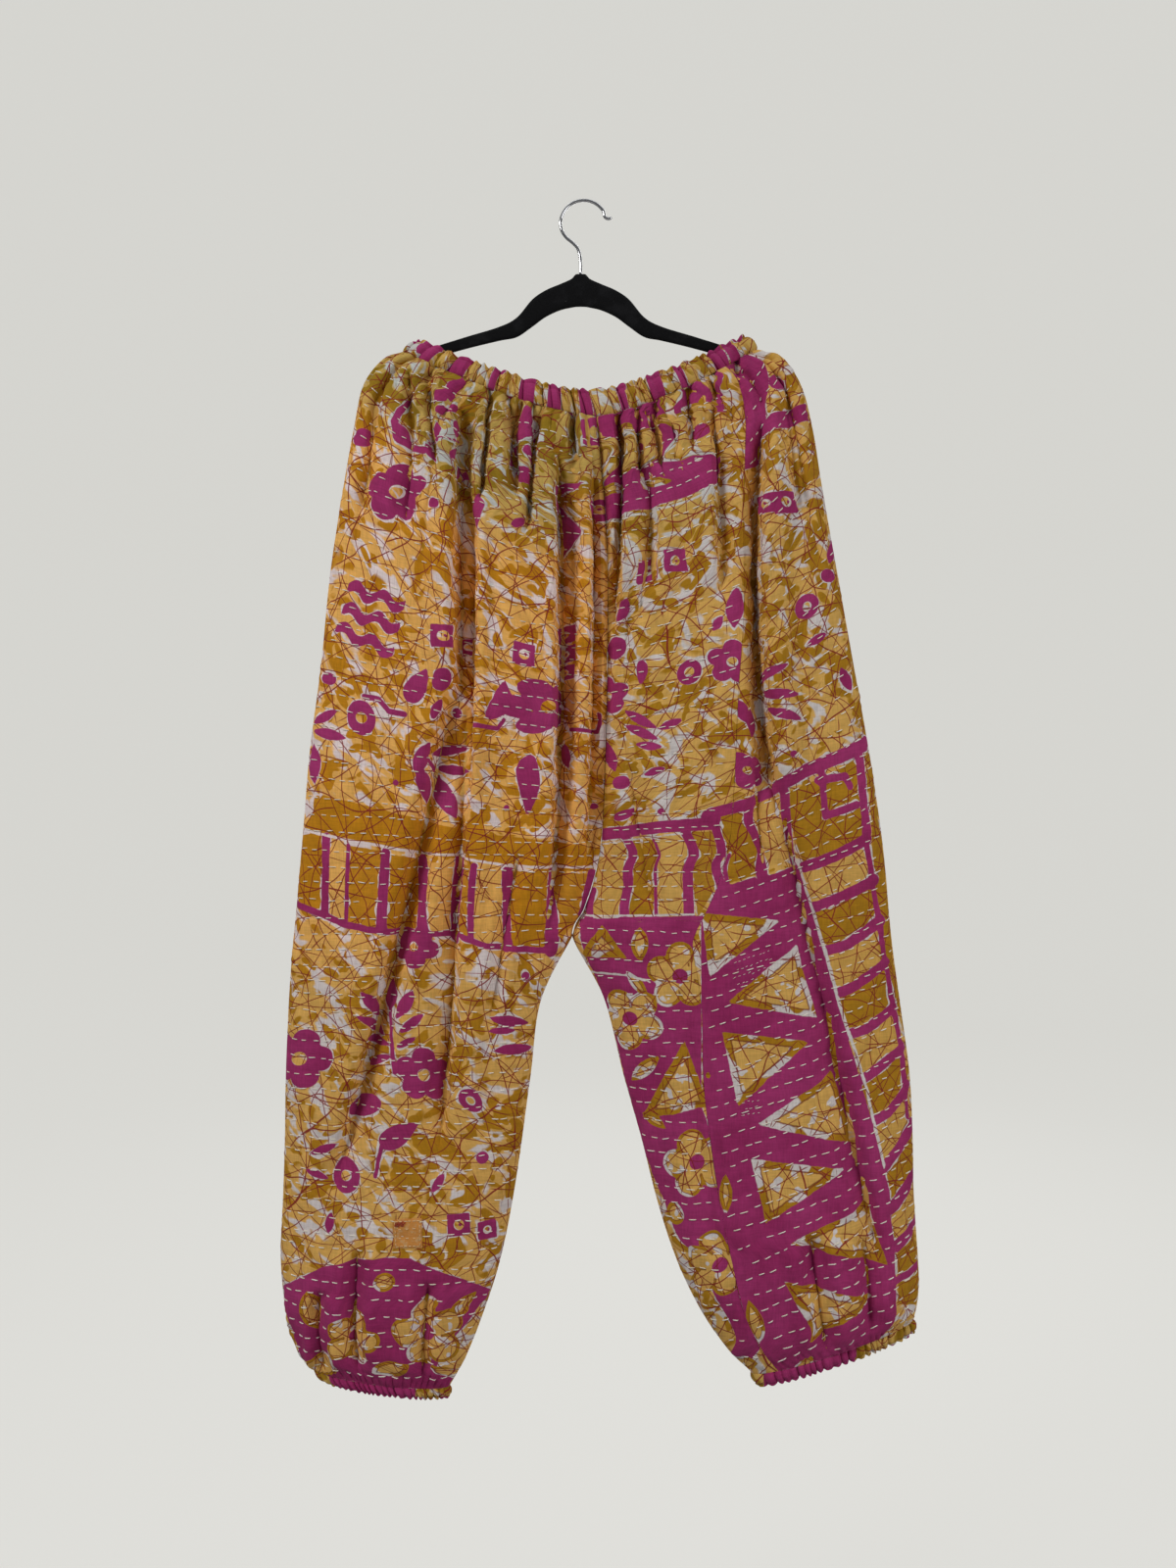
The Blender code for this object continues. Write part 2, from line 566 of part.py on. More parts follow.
def build_hanger_body(look, parts):
    """The flat flocked body: one closed outline, both arms, with rounded ends and edges."""
    out, top, bottom = np.array(list(HANGER_STATIONS.values()), float).T
    end = np.array([out[-1], top[-1]])
    tip = end + np.array(list(HANGER_TIP.values()))
    half = np.concatenate([np.stack([out, top], axis=-1)[1:], tip, np.stack([out, bottom], axis=-1)[::-1]])
    outline = np.concatenate([half, half[::-1][1:] * (-1, 1)])
    flat = [(x + HANGER_MIDDLE, z, 0) for x, z in outline]
    body = line_curve("hanger_body", flat, "2D", look, parts)
    body.rotation_euler = (math.pi / 2, 0, 0)
    body.data.splines[0].use_cyclic_u = True
    body.data.fill_mode = "BOTH"
    body.data.extrude = (HANGER_THICK / 2 - HANGER_ROUNDING) * MM
    body.data.bevel_depth = HANGER_ROUNDING * MM
    body.data.offset = -HANGER_ROUNDING * MM
    body.data.bevel_resolution = 1


def build_hook(look, parts):
    """The bent wire: up from the neck, round the crook and out to its small lip."""
    turns = np.radians(np.linspace(*CROOK_SPAN, 18))
    middle = WIRE_RADIUS - CROOK_RADIUS
    arc = [(CROOK_RADIUS * math.cos(turn), middle + CROOK_RADIUS * math.sin(turn)) for turn in turns]
    route = [(x, 0, z) for x, z in [*WIRE_STEM, *arc, *WIRE_LIP]]
    hook = line_curve("hanger_hook", route, "3D", look, parts)
    hook.data.bevel_depth = WIRE_RADIUS * MM
    hook.data.bevel_resolution = 2
    hook.data.use_fill_caps = True


def build():
    clear_scene()
    parts = collection_named("joggers_on_hanger")
    looks = {
        "cotton": material("quilted_cotton", COTTON),
        "cotton_pink": material("quilted_cotton_pink", COTTON_PINK),
        "patch": material("patch_cotton", PATCH_COTTON),
        "flock": material("black_flock", FLOCK),
        "chrome": material("chrome_wire", CHROME),
    }
    grids = build_panels(looks, parts)
    build_rings(looks, parts)
    build_patch(grids["right_front"], looks["patch"], parts)
    build_hanger_body(looks["flock"], parts)
    build_hook(looks["chrome"], parts)


build()
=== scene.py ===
import functools
import math

import bpy
import numpy as np
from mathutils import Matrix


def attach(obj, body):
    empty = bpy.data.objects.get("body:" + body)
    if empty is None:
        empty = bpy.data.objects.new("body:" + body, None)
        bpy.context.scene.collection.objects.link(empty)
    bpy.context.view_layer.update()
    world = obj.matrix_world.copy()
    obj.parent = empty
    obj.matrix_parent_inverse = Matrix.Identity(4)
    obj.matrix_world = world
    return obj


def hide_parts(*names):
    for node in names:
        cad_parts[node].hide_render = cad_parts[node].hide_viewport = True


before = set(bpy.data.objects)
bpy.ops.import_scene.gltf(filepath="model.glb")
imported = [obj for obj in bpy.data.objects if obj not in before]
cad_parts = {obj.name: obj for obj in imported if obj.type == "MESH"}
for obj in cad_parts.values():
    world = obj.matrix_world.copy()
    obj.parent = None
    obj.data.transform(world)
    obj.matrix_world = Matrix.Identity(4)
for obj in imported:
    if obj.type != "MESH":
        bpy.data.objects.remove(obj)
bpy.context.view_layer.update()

MM = 0.001


# ---------------------------------------------------------------- camera, floor and light
# The camera stands a little over a metre before the joggers and level with their middle, as for the
# photograph. The floor is pale and plain, and turns up in one sweep into a round backdrop far behind.
CAMERA_AT = (0.0041, -1.142, -0.5643)
HALF_HEIGHT_SEEN = 0.76          # metres of the hanger's plane above and below the picture's middle
SENSOR = 36.0
FLOOR_Z = -1.72
FLOOR_RADIUS = 3.4
SWEEP_RADIUS = 2.6
BACKDROP_TOP = 5.2
BACKDROP_COLUMNS = 96
MIDDLE_HOLE = 0.0002             # radius of the profile's first point, so that its ring isn't a point
# The camera sees the first colour and the glow, which make the far wall as pale as a near one. The
# garment sees the bounce alone.
BACKDROP_WHITE = (0.14, 0.14, 0.14)
BACKDROP_GLOW = (0.625, 0.62, 0.585)
BACKDROP_BOUNCE = (0.34, 0.34, 0.34)

camera_data = bpy.data.cameras.new("camera")
camera_data.sensor_fit = "VERTICAL"
camera_data.sensor_height = SENSOR
camera_data.sensor_width = SENSOR
camera_data.lens = SENSOR / 2 * -CAMERA_AT[1] / HALF_HEIGHT_SEEN
camera = bpy.data.objects.new("camera", camera_data)
camera.location = CAMERA_AT
camera.rotation_euler = (math.pi / 2, 0, 0)
bpy.context.collection.objects.link(camera)
bpy.context.scene.camera = camera
bpy.context.scene.view_settings.view_transform = "Standard"


def mesh_object(name, points, faces, material, smooth_under=None):
    """A mesh object at the origin from a (n, 3) array in metres and a list of (m, k) index arrays."""
    mesh = bpy.data.meshes.new(name)
    loops = np.concatenate([np.asarray(block, np.int32).ravel() for block in faces])
    sizes = np.concatenate([np.full(len(block), np.shape(block)[1], np.int32) for block in faces])
    mesh.vertices.add(len(points))
    mesh.vertices.foreach_set("co", np.asarray(points, np.float32).ravel())
    mesh.loops.add(len(loops))
    mesh.loops.foreach_set("vertex_index", loops)
    mesh.polygons.add(len(sizes))
    mesh.polygons.foreach_set("loop_start", np.concatenate([[0], np.cumsum(sizes)[:-1]]).astype(np.int32))
    mesh.polygons.foreach_set("loop_total", sizes)
    mesh.update(calc_edges=True)
    mesh.materials.append(material)
    mesh.shade_smooth()
    if smooth_under is not None:
        mesh.set_sharp_from_angle(angle=math.radians(smooth_under))
    made = bpy.data.objects.new(name, mesh)
    bpy.context.collection.objects.link(made)
    return made


def grid_quads(rows, columns, closed=False, turned=False):
    """Corner indices of a grid's quads. A closed grid's last column joins its first."""
    row, column = np.mgrid[0:rows - 1, 0:columns if closed else columns - 1]
    after = (column + 1) % columns
    corners = [row * columns + column, (row + 1) * columns + column,
               (row + 1) * columns + after, row * columns + after]
    quads = np.stack([corner.ravel() for corner in corners], axis=1)
    return quads[:, ::-1] if turned else quads


def sweep_profile():
    """Radius and height along the backdrop: flat floor, quarter circle, upright wall."""
    turn = np.linspace(0, math.pi / 2, 25)
    radius = FLOOR_RADIUS + SWEEP_RADIUS * np.sin(turn)
    height = FLOOR_Z + SWEEP_RADIUS * (1 - np.cos(turn))
    return (np.concatenate([[MIDDLE_HOLE, FLOOR_RADIUS / 2], radius, radius[-1:]]),
            np.concatenate([[FLOOR_Z, FLOOR_Z], height, [BACKDROP_TOP]]))


def build_backdrop():
    """The profile turned once round the upright axis."""
    radius, height = sweep_profile()
    turn = np.linspace(0, 2 * math.pi, BACKDROP_COLUMNS + 1)[:-1]
    points = np.stack([radius[:, None] * np.cos(turn), radius[:, None] * np.sin(turn),
                       np.repeat(height[:, None], len(turn), axis=1)], axis=-1)
    quads = grid_quads(len(radius), len(turn), closed=True)
    pale = bpy.data.materials.new("pale_backdrop")
    pale.use_nodes = True
    tree = pale.node_tree
    shader = tree.nodes["Principled BSDF"]
    shader.inputs["Base Color"].default_value = (*BACKDROP_WHITE, 1)
    shader.inputs["Roughness"].default_value = 0.9
    shader.inputs["Emission Color"].default_value = (*BACKDROP_GLOW, 1)
    shader.inputs["Emission Strength"].default_value = 1
    bounce = tree.nodes.new("ShaderNodeBsdfDiffuse")
    bounce.inputs["Color"].default_value = (*BACKDROP_BOUNCE, 1)
    seen = tree.nodes.new("ShaderNodeLightPath")
    choice = tree.nodes.new("ShaderNodeMixShader")
    tree.links.new(seen.outputs["Is Camera Ray"], choice.inputs[0])
    tree.links.new(bounce.outputs["BSDF"], choice.inputs[1])
    tree.links.new(shader.outputs["BSDF"], choice.inputs[2])
    tree.links.new(choice.outputs["Shader"], tree.nodes["Material Output"].inputs["Surface"])
    return mesh_object("backdrop", points.reshape(-1, 3), [quads], pale)


def soft_light(name, place, aim, size, power):
    """A square area light, turned to its aim."""
    light = bpy.data.lights.new(name, "AREA")
    light.size = size
    light.energy = power
    made = bpy.data.objects.new(name, light)
    made.location = place
    away = made.location.copy()
    away.x -= aim[0]
    away.y -= aim[1]
    away.z -= aim[2]
    made.rotation_euler = away.to_track_quat("Z", "Y").to_euler()
    bpy.context.collection.objects.link(made)


build_backdrop()
LIGHTS_AIM = (0, 0, -0.6)        # the joggers' middle
# Each light's place in metres, where it is turned to, the side of its square and its watts.
soft_light("key_light", (-1.9, -1.5, 0.9), LIGHTS_AIM, 0.7, 33)
soft_light("fill_light", (2.3, -1.7, -0.2), LIGHTS_AIM, 1.8, 27)
soft_light("back_light", (0.6, 2.6, 0.9), LIGHTS_AIM, 1.8, 42)
world = bpy.data.worlds.new("pale_surround")
world.use_nodes = True
world.node_tree.nodes["Background"].inputs["Color"].default_value = (0.95, 0.97, 1.0, 1)
world.node_tree.nodes["Background"].inputs["Strength"].default_value = 0.5
bpy.context.scene.world = world


# ---------------------------------------------------------------- hanger
# A flat clothes hanger moulded in plastic and coated with short black flock, with a hook of chromed
# wire that turns in its neck. Both arms run inside the gathered waist and hold it up.
HANGER_MIDDLE = -3.0             # millimetres, as all sizes in tables below
HANGER_THICK = 5.0
HANGER_STATIONS = {              # distance out from the middle, top edge, bottom edge
    "neck":     (0, -70.3, -101.5),
    "collar":   (5, -70.6, -101.7),
    "throat":   (9, -75.0, -102.4),
    "arch":     (20, -80.0, -105.0),
    "bend_top": (34, -86.0, -111.5),
    "bend":     (47, -95.0, -121.0),
    "bend_low": (62, -112.5, -131.0),
    "arm_top":  (79, -121.5, -134.5),
    "arm":      (110, -131.0, -142.0),
    "arm_low":  (141, -140.8, -151.0),
    "hidden":   (172, -152.2, -162.4),
    "end":      (190.8, -159.5, -169.9),
}
HANGER_TIP_LENGTH = 5.2
HANGER_SECTION_ROUNDING = 4.0    # exponent of the section's rounded box: 2 is an oval, more is boxier
WIRE_RADIUS = 1.5
CROOK_RADIUS = 22.5
CROOK_SPAN = (185, 32)           # degrees from +X, over the top
WIRE_STEP = 0.9                  # between two rings of the wire; its ends are rounded over as much
WIRE_SIDES = 20
HANGER_SIDES = 36
WIRE_STEM = ((-3, -70.3), (-3, -62), (-3.6, -53), (-6, -45), (-11, -39.5), (-16.5, -35), (-20.8, -29))
WIRE_LIP = ((20.4, -14.4), (23.6, -16.4), (27.2, -15.6))


class Shade:
    """A shader socket used as a value. Its sums add Math nodes; node() adds any other kind."""

    def __init__(self, tree, socket=None):
        self.tree = tree
        self.socket = socket

    def node(self, kind, settings=None, inputs=None, output=0):
        """Adds a node, sets its settings, then fills its sockets."""
        made = self.tree.nodes.new(kind)
        for name, value in (settings or {}).items():
            setattr(made, name, value)
        for name, value in (inputs or {}).items():
            if isinstance(value, Shade):
                self.tree.links.new(value.socket, made.inputs[name])
            else:
                made.inputs[name].default_value = value
        return Shade(self.tree, made.outputs[output])

    def math(self, operation, *values):
        return self.node("ShaderNodeMath", {"operation": operation}, dict(enumerate(values)))

    def __add__(self, other):
        return self.math("ADD", self, other)

    def __sub__(self, other):
        return self.math("SUBTRACT", self, other)

    def __rsub__(self, other):
        return self.math("SUBTRACT", other, self)

    def __mul__(self, other):
        return self.math("MULTIPLY", self, other)

    __radd__ = __add__
    __rmul__ = __mul__

    def distance_from(self, other):
        return self.math("ABSOLUTE", self - other)

    def fraction(self):
        return self.math("FRACT", self)

    def over(self, low, high):
        """0 below low and 1 above high, with a soft step between. The other way round if low > high."""
        return self.node("ShaderNodeMapRange", {"interpolation_type": "SMOOTHSTEP"},
                         {"Value": self, "From Min": low, "From Max": high})

    def mix(self, first, second):
        """The first colour where this value is 0, the second where it is 1."""
        colours = [(*value, 1) if isinstance(value, tuple) else value for value in (first, second)]
        return self.node("ShaderNodeMix", {"data_type": "RGBA"}, {0: self, 6: colours[0], 7: colours[1]}, 2)

    def scaled(self, factors):
        """This vector with each part multiplied."""
        return self.node("ShaderNodeVectorMath", {"operation": "MULTIPLY"}, {0: self, 1: factors})

    def moved(self, offset):
        """This vector with another one added."""
        return self.node("ShaderNodeVectorMath", {"operation": "ADD"}, {0: self, 1: offset})

    def noise(self, wavelength, detail=2.0, shift=0.0):
        """Noise between 0 and 1 on this vector, with lumps about one wavelength apart."""
        place = self.moved((shift, shift * 1.7, shift * 0.6)) if shift else self
        return self.node("ShaderNodeTexNoise", {"noise_dimensions": "3D"},
                         {"Vector": place, "Scale": 1.0 / wavelength, "Detail": detail})


class Finish:
    """A new material, with its Principled shader's plain numbers set straight on its sockets."""

    def __init__(self, name, **plain):
        self.material = bpy.data.materials.new(name)
        self.material.use_nodes = True
        tree = self.material.node_tree
        self.shader = tree.nodes["Principled BSDF"]
        self.start = Shade(tree)
        for socket, value in plain.items():
            self.shader.inputs[socket.replace("_", " ")].default_value = value

    def feed(self, socket, value):
        self.start.tree.links.new(value.socket, self.shader.inputs[socket])

    def bump(self, height, depth):
        """Raises the surface by the height's value times the depth in metres."""
        self.feed("Normal", self.start.node("ShaderNodeBump", None,
                                            {"Height": height, "Distance": depth, "Strength": 1.0}))

    def object_millimetres(self):
        return self.start.node("ShaderNodeTexCoord", output=3).scaled((1000.0, 1000.0, 1000.0))

    def cloth_millimetres(self):
        return self.start.node("ShaderNodeUVMap", {"uv_map": "cloth"}).scaled((1000.0, 1000.0, 1000.0))


def flock_finish():
    """Near-black pile: matt, with a fine grainy bump, a faint edge sheen and some pale lint."""
    finish = Finish("black_flock", Roughness=0.95, Sheen_Weight=0.12, Sheen_Roughness=0.45,
                    Specular_IOR_Level=0.15)
    place = finish.object_millimetres()
    pile = place.noise(0.55, 3.0)
    worn = place.noise(14.0, 3.0, 5.0).over(0.5, 0.72)
    lint = place.scaled((0.25, 1.0, 1.0)).noise(1.3, 1.0, 9.0).over(0.79, 0.83)
    colour = worn.mix((0.0035, 0.0035, 0.004), (0.0085, 0.0085, 0.0095))
    finish.feed("Base Color", (lint * 0.35).mix(colour, (0.16, 0.15, 0.15)))
    finish.bump(pile, 0.0004)
    return finish.material


def chrome_finish():
    """Polished wire, faintly smeared and drawn lengthwise."""
    finish = Finish("chrome_wire", Metallic=1.0)
    place = finish.object_millimetres()
    smear = place.noise(9.0, 3.0)
    finish.feed("Base Color", smear.over(0.35, 0.75).mix((0.80, 0.80, 0.81), (0.62, 0.62, 0.64)))
    finish.feed("Roughness", smear * 0.16 + 0.08)
    finish.bump(place.noise(0.6, 2.0), 0.00001)
    return finish.material


def past_both_ends(values):
    """Values with one more at each end, carried straight on."""
    return np.concatenate([[2 * values[0] - values[1]], values, [2 * values[-1] - values[-2]]])


def catmull_rom(a, b, c, d, t):
    """The curve between b and c, at t from 0 to 1, with a before them and d after."""
    return 0.5 * (2 * b + (c - a) * t + (2 * a - 5 * b + 4 * c - d) * t**2 + (3 * b - a - 3 * c + d) * t**3)


def spline_through(points, step):
    """Catmull-Rom curve through points, read about every step of its length."""
    points = np.asarray(points, float)
    padded = past_both_ends(points)
    pieces = []
    for at in range(len(points) - 1):
        a, b, c, d = padded[at:at + 4]
        count = max(2, int(np.linalg.norm(c - b) / step))
        pieces.append(catmull_rom(a, b, c, d, np.linspace(0, 1, count, endpoint=False)[:, None]))
    return np.concatenate([*pieces, points[-1:]])


def joined_rings(name, points, material, smooth_under):
    """A closed object from a (rings, sides, 3) array in millimetres, with a flat face at each end."""
    rings, sides = points.shape[:2]
    last = (rings - 1) * sides
    faces = [grid_quads(rings, sides, closed=True, turned=True),
             np.arange(sides)[None, ::-1], last + np.arange(sides)[None, :]]
    return mesh_object(name, points.reshape(-1, 3) * MM, faces, material, smooth_under)


def build_hook():
    """A round wire along a path in the plane y = 0: each ring stands square to the path."""
    turns = np.radians(np.linspace(*CROOK_SPAN, 18))
    arc = [(CROOK_RADIUS * math.cos(turn), WIRE_RADIUS - CROOK_RADIUS + CROOK_RADIUS * math.sin(turn))
           for turn in turns]
    route = spline_through([*WIRE_STEM, *arc, *WIRE_LIP], WIRE_STEP)
    along = np.gradient(route, axis=0)
    along /= np.linalg.norm(along, axis=1, keepdims=True)
    turn = np.arange(WIRE_SIDES) * 2 * math.pi / WIRE_SIDES
    run = np.concatenate([[0], np.cumsum(np.linalg.norm(np.diff(route, axis=0), axis=1))])
    from_end = np.minimum(run, run[-1] - run)
    radius = WIRE_RADIUS * np.sqrt(1 - (1 - np.clip(from_end / WIRE_STEP, 0.15, 1)) ** 2)
    across = radius[:, None] * np.cos(turn)
    points = np.stack([route[:, :1] - along[:, 1:] * across, radius[:, None] * np.sin(turn),
                       route[:, 1:] + along[:, :1] * across], axis=-1)
    return joined_rings("hook", points, chrome_finish(), 60)


def build_hanger():
    """Both arms as one body: at each distance along it the section is a rounded box.

    A section's outline is a superellipse, whose half height is half the gap between the hanger's top and
    bottom edges. Over the last few millimetres of an arm the half height closes as a quarter oval.
    """
    out, top, bottom = np.array(list(HANGER_STATIONS.values()), float).T
    reach = out[-1] + HANGER_TIP_LENGTH
    tip = reach - HANGER_TIP_LENGTH * (1 - np.sin(np.linspace(0, math.pi / 2, 10)))
    arm = np.unique(np.concatenate([np.arange(0, out[-1], 1.6), tip]))
    edges = spline_through(np.stack([out, top, bottom], axis=1), 0.8)
    high = np.interp(arm, edges[:, 0], edges[:, 1])
    low = np.interp(arm, edges[:, 0], edges[:, 2])
    past = np.clip((arm - out[-1]) / HANGER_TIP_LENGTH, 0, 0.995)
    closing = np.sqrt(1 - past**2)
    middle, half = (high + low) / 2 - 4.0 * past, (high - low) / 2 * closing
    along = np.concatenate([-arm[:0:-1], arm])
    middle, half = (np.concatenate([values[:0:-1], values]) for values in (middle, half))
    turn = np.arange(HANGER_SIDES) * 2 * math.pi / HANGER_SIDES
    power = 2 / HANGER_SECTION_ROUNDING
    flat = np.sign(np.cos(turn)) * np.abs(np.cos(turn)) ** power
    tall = np.sign(np.sin(turn)) * np.abs(np.sin(turn)) ** power
    thick = HANGER_THICK / 2 * np.sqrt(np.clip(half / half.max() * 3, 0.02, 1))
    points = np.stack([np.repeat(along[:, None] + HANGER_MIDDLE, HANGER_SIDES, axis=1),
                       thick[:, None] * flat, middle[:, None] + half[:, None] * tall], axis=-1)
    return joined_rings("hanger", points, flock_finish(), 50)


for piece, node, slot in ((build_hook(), "hanger_hook", "chrome_wire"),
                          (build_hanger(), "hanger_body", "black_flock")):
    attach(piece, "root")
    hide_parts(node)


# ---------------------------------------------------------------- the cloth's hung form
# Two layers of soft cotton, quilted together by hand. The legs are wide tubes, gathered at the waist and
# the ankles, and hang almost flat from the waistband, in long pleats that start at the casing. Sizes are
# in millimetres, from the crook of the hook, as in the construction.
CLOTH = 1.5
SEAM_GAP = 0.16
EDGE_FADE = 9.0
GATHERS_PER_PANEL = 7.5
GATHER_DEPTH = 8.5
WAIST_GATHERS = 15               # ribs of the casing over one quarter of the waist
CUFF_GATHERS = 22                # ribs over one face of a cuff
# One row for each level down the joggers. The right leg's outer and inner edges, then the left leg's,
# seen from the front: x across and z up from the crook. Down to the crotch the inner edges are the one
# seam at the centre. front and back are the cloth's reach before and behind the hanger's plane, parted
# is how far the legs' own tubes have formed, and piecing is where the left front's upright seam stands,
# as a share of the width from the outer edge.
LEVEL_COLUMNS = ("right_out_x", "right_out_z", "right_in_x", "right_in_z",
                 "left_out_x", "left_out_z", "left_in_x", "left_in_z",
                 "front", "back", "parted", "piecing")
LEVELS = {
    "waist":     (-175, -146, 12, -213, 167, -144, 12, -213, 17, 17, 0.00, 0.20),
    "shoulder":  (-194, -153, 15, -237, 191, -152, 15, -237, 20, 20, 0.02, 0.24),
    "tip":       (-213, -178, 18, -270, 210, -178, 18, -270, 24, 24, 0.06, 0.29),
    "hip_top":   (-222, -219, 21, -308, 221, -219, 21, -308, 27, 28, 0.12, 0.34),
    "hip":       (-232, -275, 23, -362, 230, -275, 23, -362, 30, 33, 0.20, 0.38),
    "seat":      (-245, -360, 23, -427, 245, -360, 23, -427, 32, 37, 0.30, 0.42),
    "thigh_top": (-254, -450, 22, -498, 261, -450, 22, -498, 33, 38, 0.42, 0.48),
    "thigh":     (-265, -534, 20, -564, 276, -534, 20, -564, 33, 37, 0.54, 0.52),
    "rise_low":  (-271, -607, 17, -619, 287, -607, 17, -619, 32, 35, 0.67, 0.55),
    "rise_end":  (-275, -652, 10, -656, 292, -652, 10, -656, 31, 33, 0.79, 0.58),
    "fork":      (-278, -688, 0, -686, 295, -688, 0, -686, 30, 32, 0.91, 0.61),
    "crotch":    (-281, -718, -11, -710, 298, -718, -11, -710, 29, 31, 1.00, 0.63),
    "upper":     (-285, -773, -42, -773, 305, -771, 20, -771, 29, 30, 1.00, 0.68),
    "knee":      (-288, -845, -52, -845, 315, -845, 39, -845, 29, 30, 1.00, 0.73),
    "calf_top":  (-289, -911, -61, -911, 318, -906, 57, -909, 30, 31, 1.00, 0.755),
    "calf":      (-291, -971, -71, -975, 319, -959, 72, -968, 32, 33, 1.00, 0.765),
    "balloon":   (-293, -1022, -83, -1030, 322, -1006, 90, -1023, 34, 35, 1.00, 0.78),
    "ankle_top": (-289, -1068, -99, -1079, 324, -1044, 112, -1070, 33, 34, 1.00, 0.81),
    "ankle":     (-280, -1106, -115, -1119, 322, -1070, 139, -1110, 28, 29, 1.00, 0.83),
    "cuff":      (-262, -1129, -130, -1146, 318, -1083, 163, -1134, 18, 18, 1.00, 0.85),
}
LEVEL_NAMES = list(LEVELS)
CROTCH = LEVEL_NAMES.index("crotch")
HEM = LEVEL_NAMES.index("cuff")
SEAM_ACROSS_LEFT_LEG = LEVEL_NAMES.index("fork") + 0.3   # the left front's level seam, as a level
# One row for each large fold: where it starts and ends (z), its path (x at the start, middle and end),
# how deep it sinks, its half width, and the height of the soft ridge beside it.
FOLD_COLUMNS = ("z_start", "z_end", "x_start", "x_middle", "x_end", "depth", "width", "ridge")
FRONT_FOLDS = {
    "right_deep":      (-181, -500, -117, -118, -117, 18, 12, 6),
    "right_outer":     (-455, -960, -121, -176, -240, 13, 14, 6),
    "right_inner":     (-455, -950, -112, -121, -141, 11, 12, 4),
    "right_hip":       (-196, -330, -158, -166, -171, 5, 9, 2),
    "right_front":     (-195, -300, -62, -63, -64, 7, 8, 3),
    "right_centre":    (-225, -720, -26, -20, -36, 13, 10, 5),
    "centre":          (-205, -700, 13, 22, -2, 6, 13, 2),
    "left_centre":     (-540, -690, 42, 54, 68, 4, 10, 2),
    "left_front":      (-250, -390, 61, 65, 70, 5, 9, 3),
    "left_hip":        (-225, -390, 132, 131, 128, 6, 9, 3),
    "left_deep":       (-205, -620, 172, 166, 188, 17, 11, 7),
    "left_outer":      (-560, -1068, 183, 238, 292, 14, 13, 7),
    "left_thigh":      (-540, -650, 160, 166, 170, 5, 9, 3),
    "left_knee":       (-760, -1040, 100, 112, 138, 4, 13, 3),
    "right_shin":      (-1000, -1132, -213, -217, -214, 6, 9, 3),
    "right_shin_side": (-1040, -1132, -250, -252, -246, 5, 7, 3),
    "right_calf":      (-1030, -1140, -148, -152, -156, 5, 9, 3),
    "left_shin":       (-985, -1110, 214, 222, 232, 6, 10, 3),
    "left_shin_side":  (-990, -1090, 262, 270, 272, 5, 9, 3),
}
BACK_FOLDS = {
    "right_outer":  (-190, -470, -165, -176, -190, 8, 12, 3),
    "right_deep":   (-200, -640, -112, -122, -150, 12, 13, 4),
    "right_middle": (-210, -380, -62, -66, -74, 7, 10, 3),
    "right_leg":    (-610, -1090, -150, -196, -222, 9, 15, 4),
    "right_inner":  (-760, -1010, -92, -104, -128, 5, 12, 3),
    "centre":       (-210, -700, 13, 22, -2, 6, 13, 2),
    "left_middle":  (-215, -420, 74, 82, 88, 8, 10, 3),
    "left_deep":    (-195, -590, 128, 142, 172, 12, 13, 4),
    "left_outer":   (-190, -400, 178, 188, 200, 6, 11, 3),
    "left_leg":     (-640, -1050, 150, 186, 236, 9, 15, 4),
    "left_inner":   (-780, -1050, 84, 104, 150, 5, 12, 3),
    "right_shin":   (-1010, -1132, -218, -214, -208, 5, 9, 3),
    "left_shin":    (-960, -1100, 268, 262, 256, 5, 9, 3),
}
# Narrower folds between the large ones, most of them falling from the casing, in the same columns.
FINE_FOLDS = {
    "right_shoulder": (-165, -236, -168, -167, -165, 5, 4, 2),
    "right_gather":   (-160, -262, -149, -146, -140, 7, 4.5, 3),
    "right_tuck":     (-178, -300, -91, -95, -99, 10, 4.5, 4),
    "right_ledge":    (-280, -605, -106, -104, -108, 9, 5, 4),
    "right_slip":     (-180, -270, -72, -69, -66, 7, 4, 3),
    "right_crease":   (-190, -330, -48, -50, -55, 7, 5, 3),
    "middle_ledge":   (-255, -590, -25, -24, -27, 10, 4.5, 4),
    "middle_tuck":    (-190, -262, -10, -8, -5, 7, 4, 3),
    "centre_wall":    (-240, -660, 8, 9, 1, 10, 5, 4),
    "left_wall":      (-198, -430, 36, 35, 29, 10, 4.5, 5),
    "left_tuck":      (-185, -290, 50, 52, 56, 7, 4, 3),
    "left_slip":      (-178, -270, 68, 71, 76, 7, 4.5, 3),
    "left_gather":    (-162, -250, 98, 101, 104, 7, 5, 3),
    "left_crease":    (-152, -345, 125, 127, 129, 6, 4, 3),
    "left_shoulder":  (-140, -232, 146, 150, 157, 7, 4.5, 3),
    "left_ledge":     (-270, -500, 164, 166, 169, 9, 4, 4),
    "left_soft":      (-300, -420, 61, 58, 52, 4, 8, 1),
    "right_side":     (-180, -310, -198, -205, -213, 4, 9, 2),
    "left_side":      (-185, -310, 195, 200, 207, 4, 9, 2),
    "right_low":      (-620, -800, -60, -76, -92, 4, 7, 2),
}
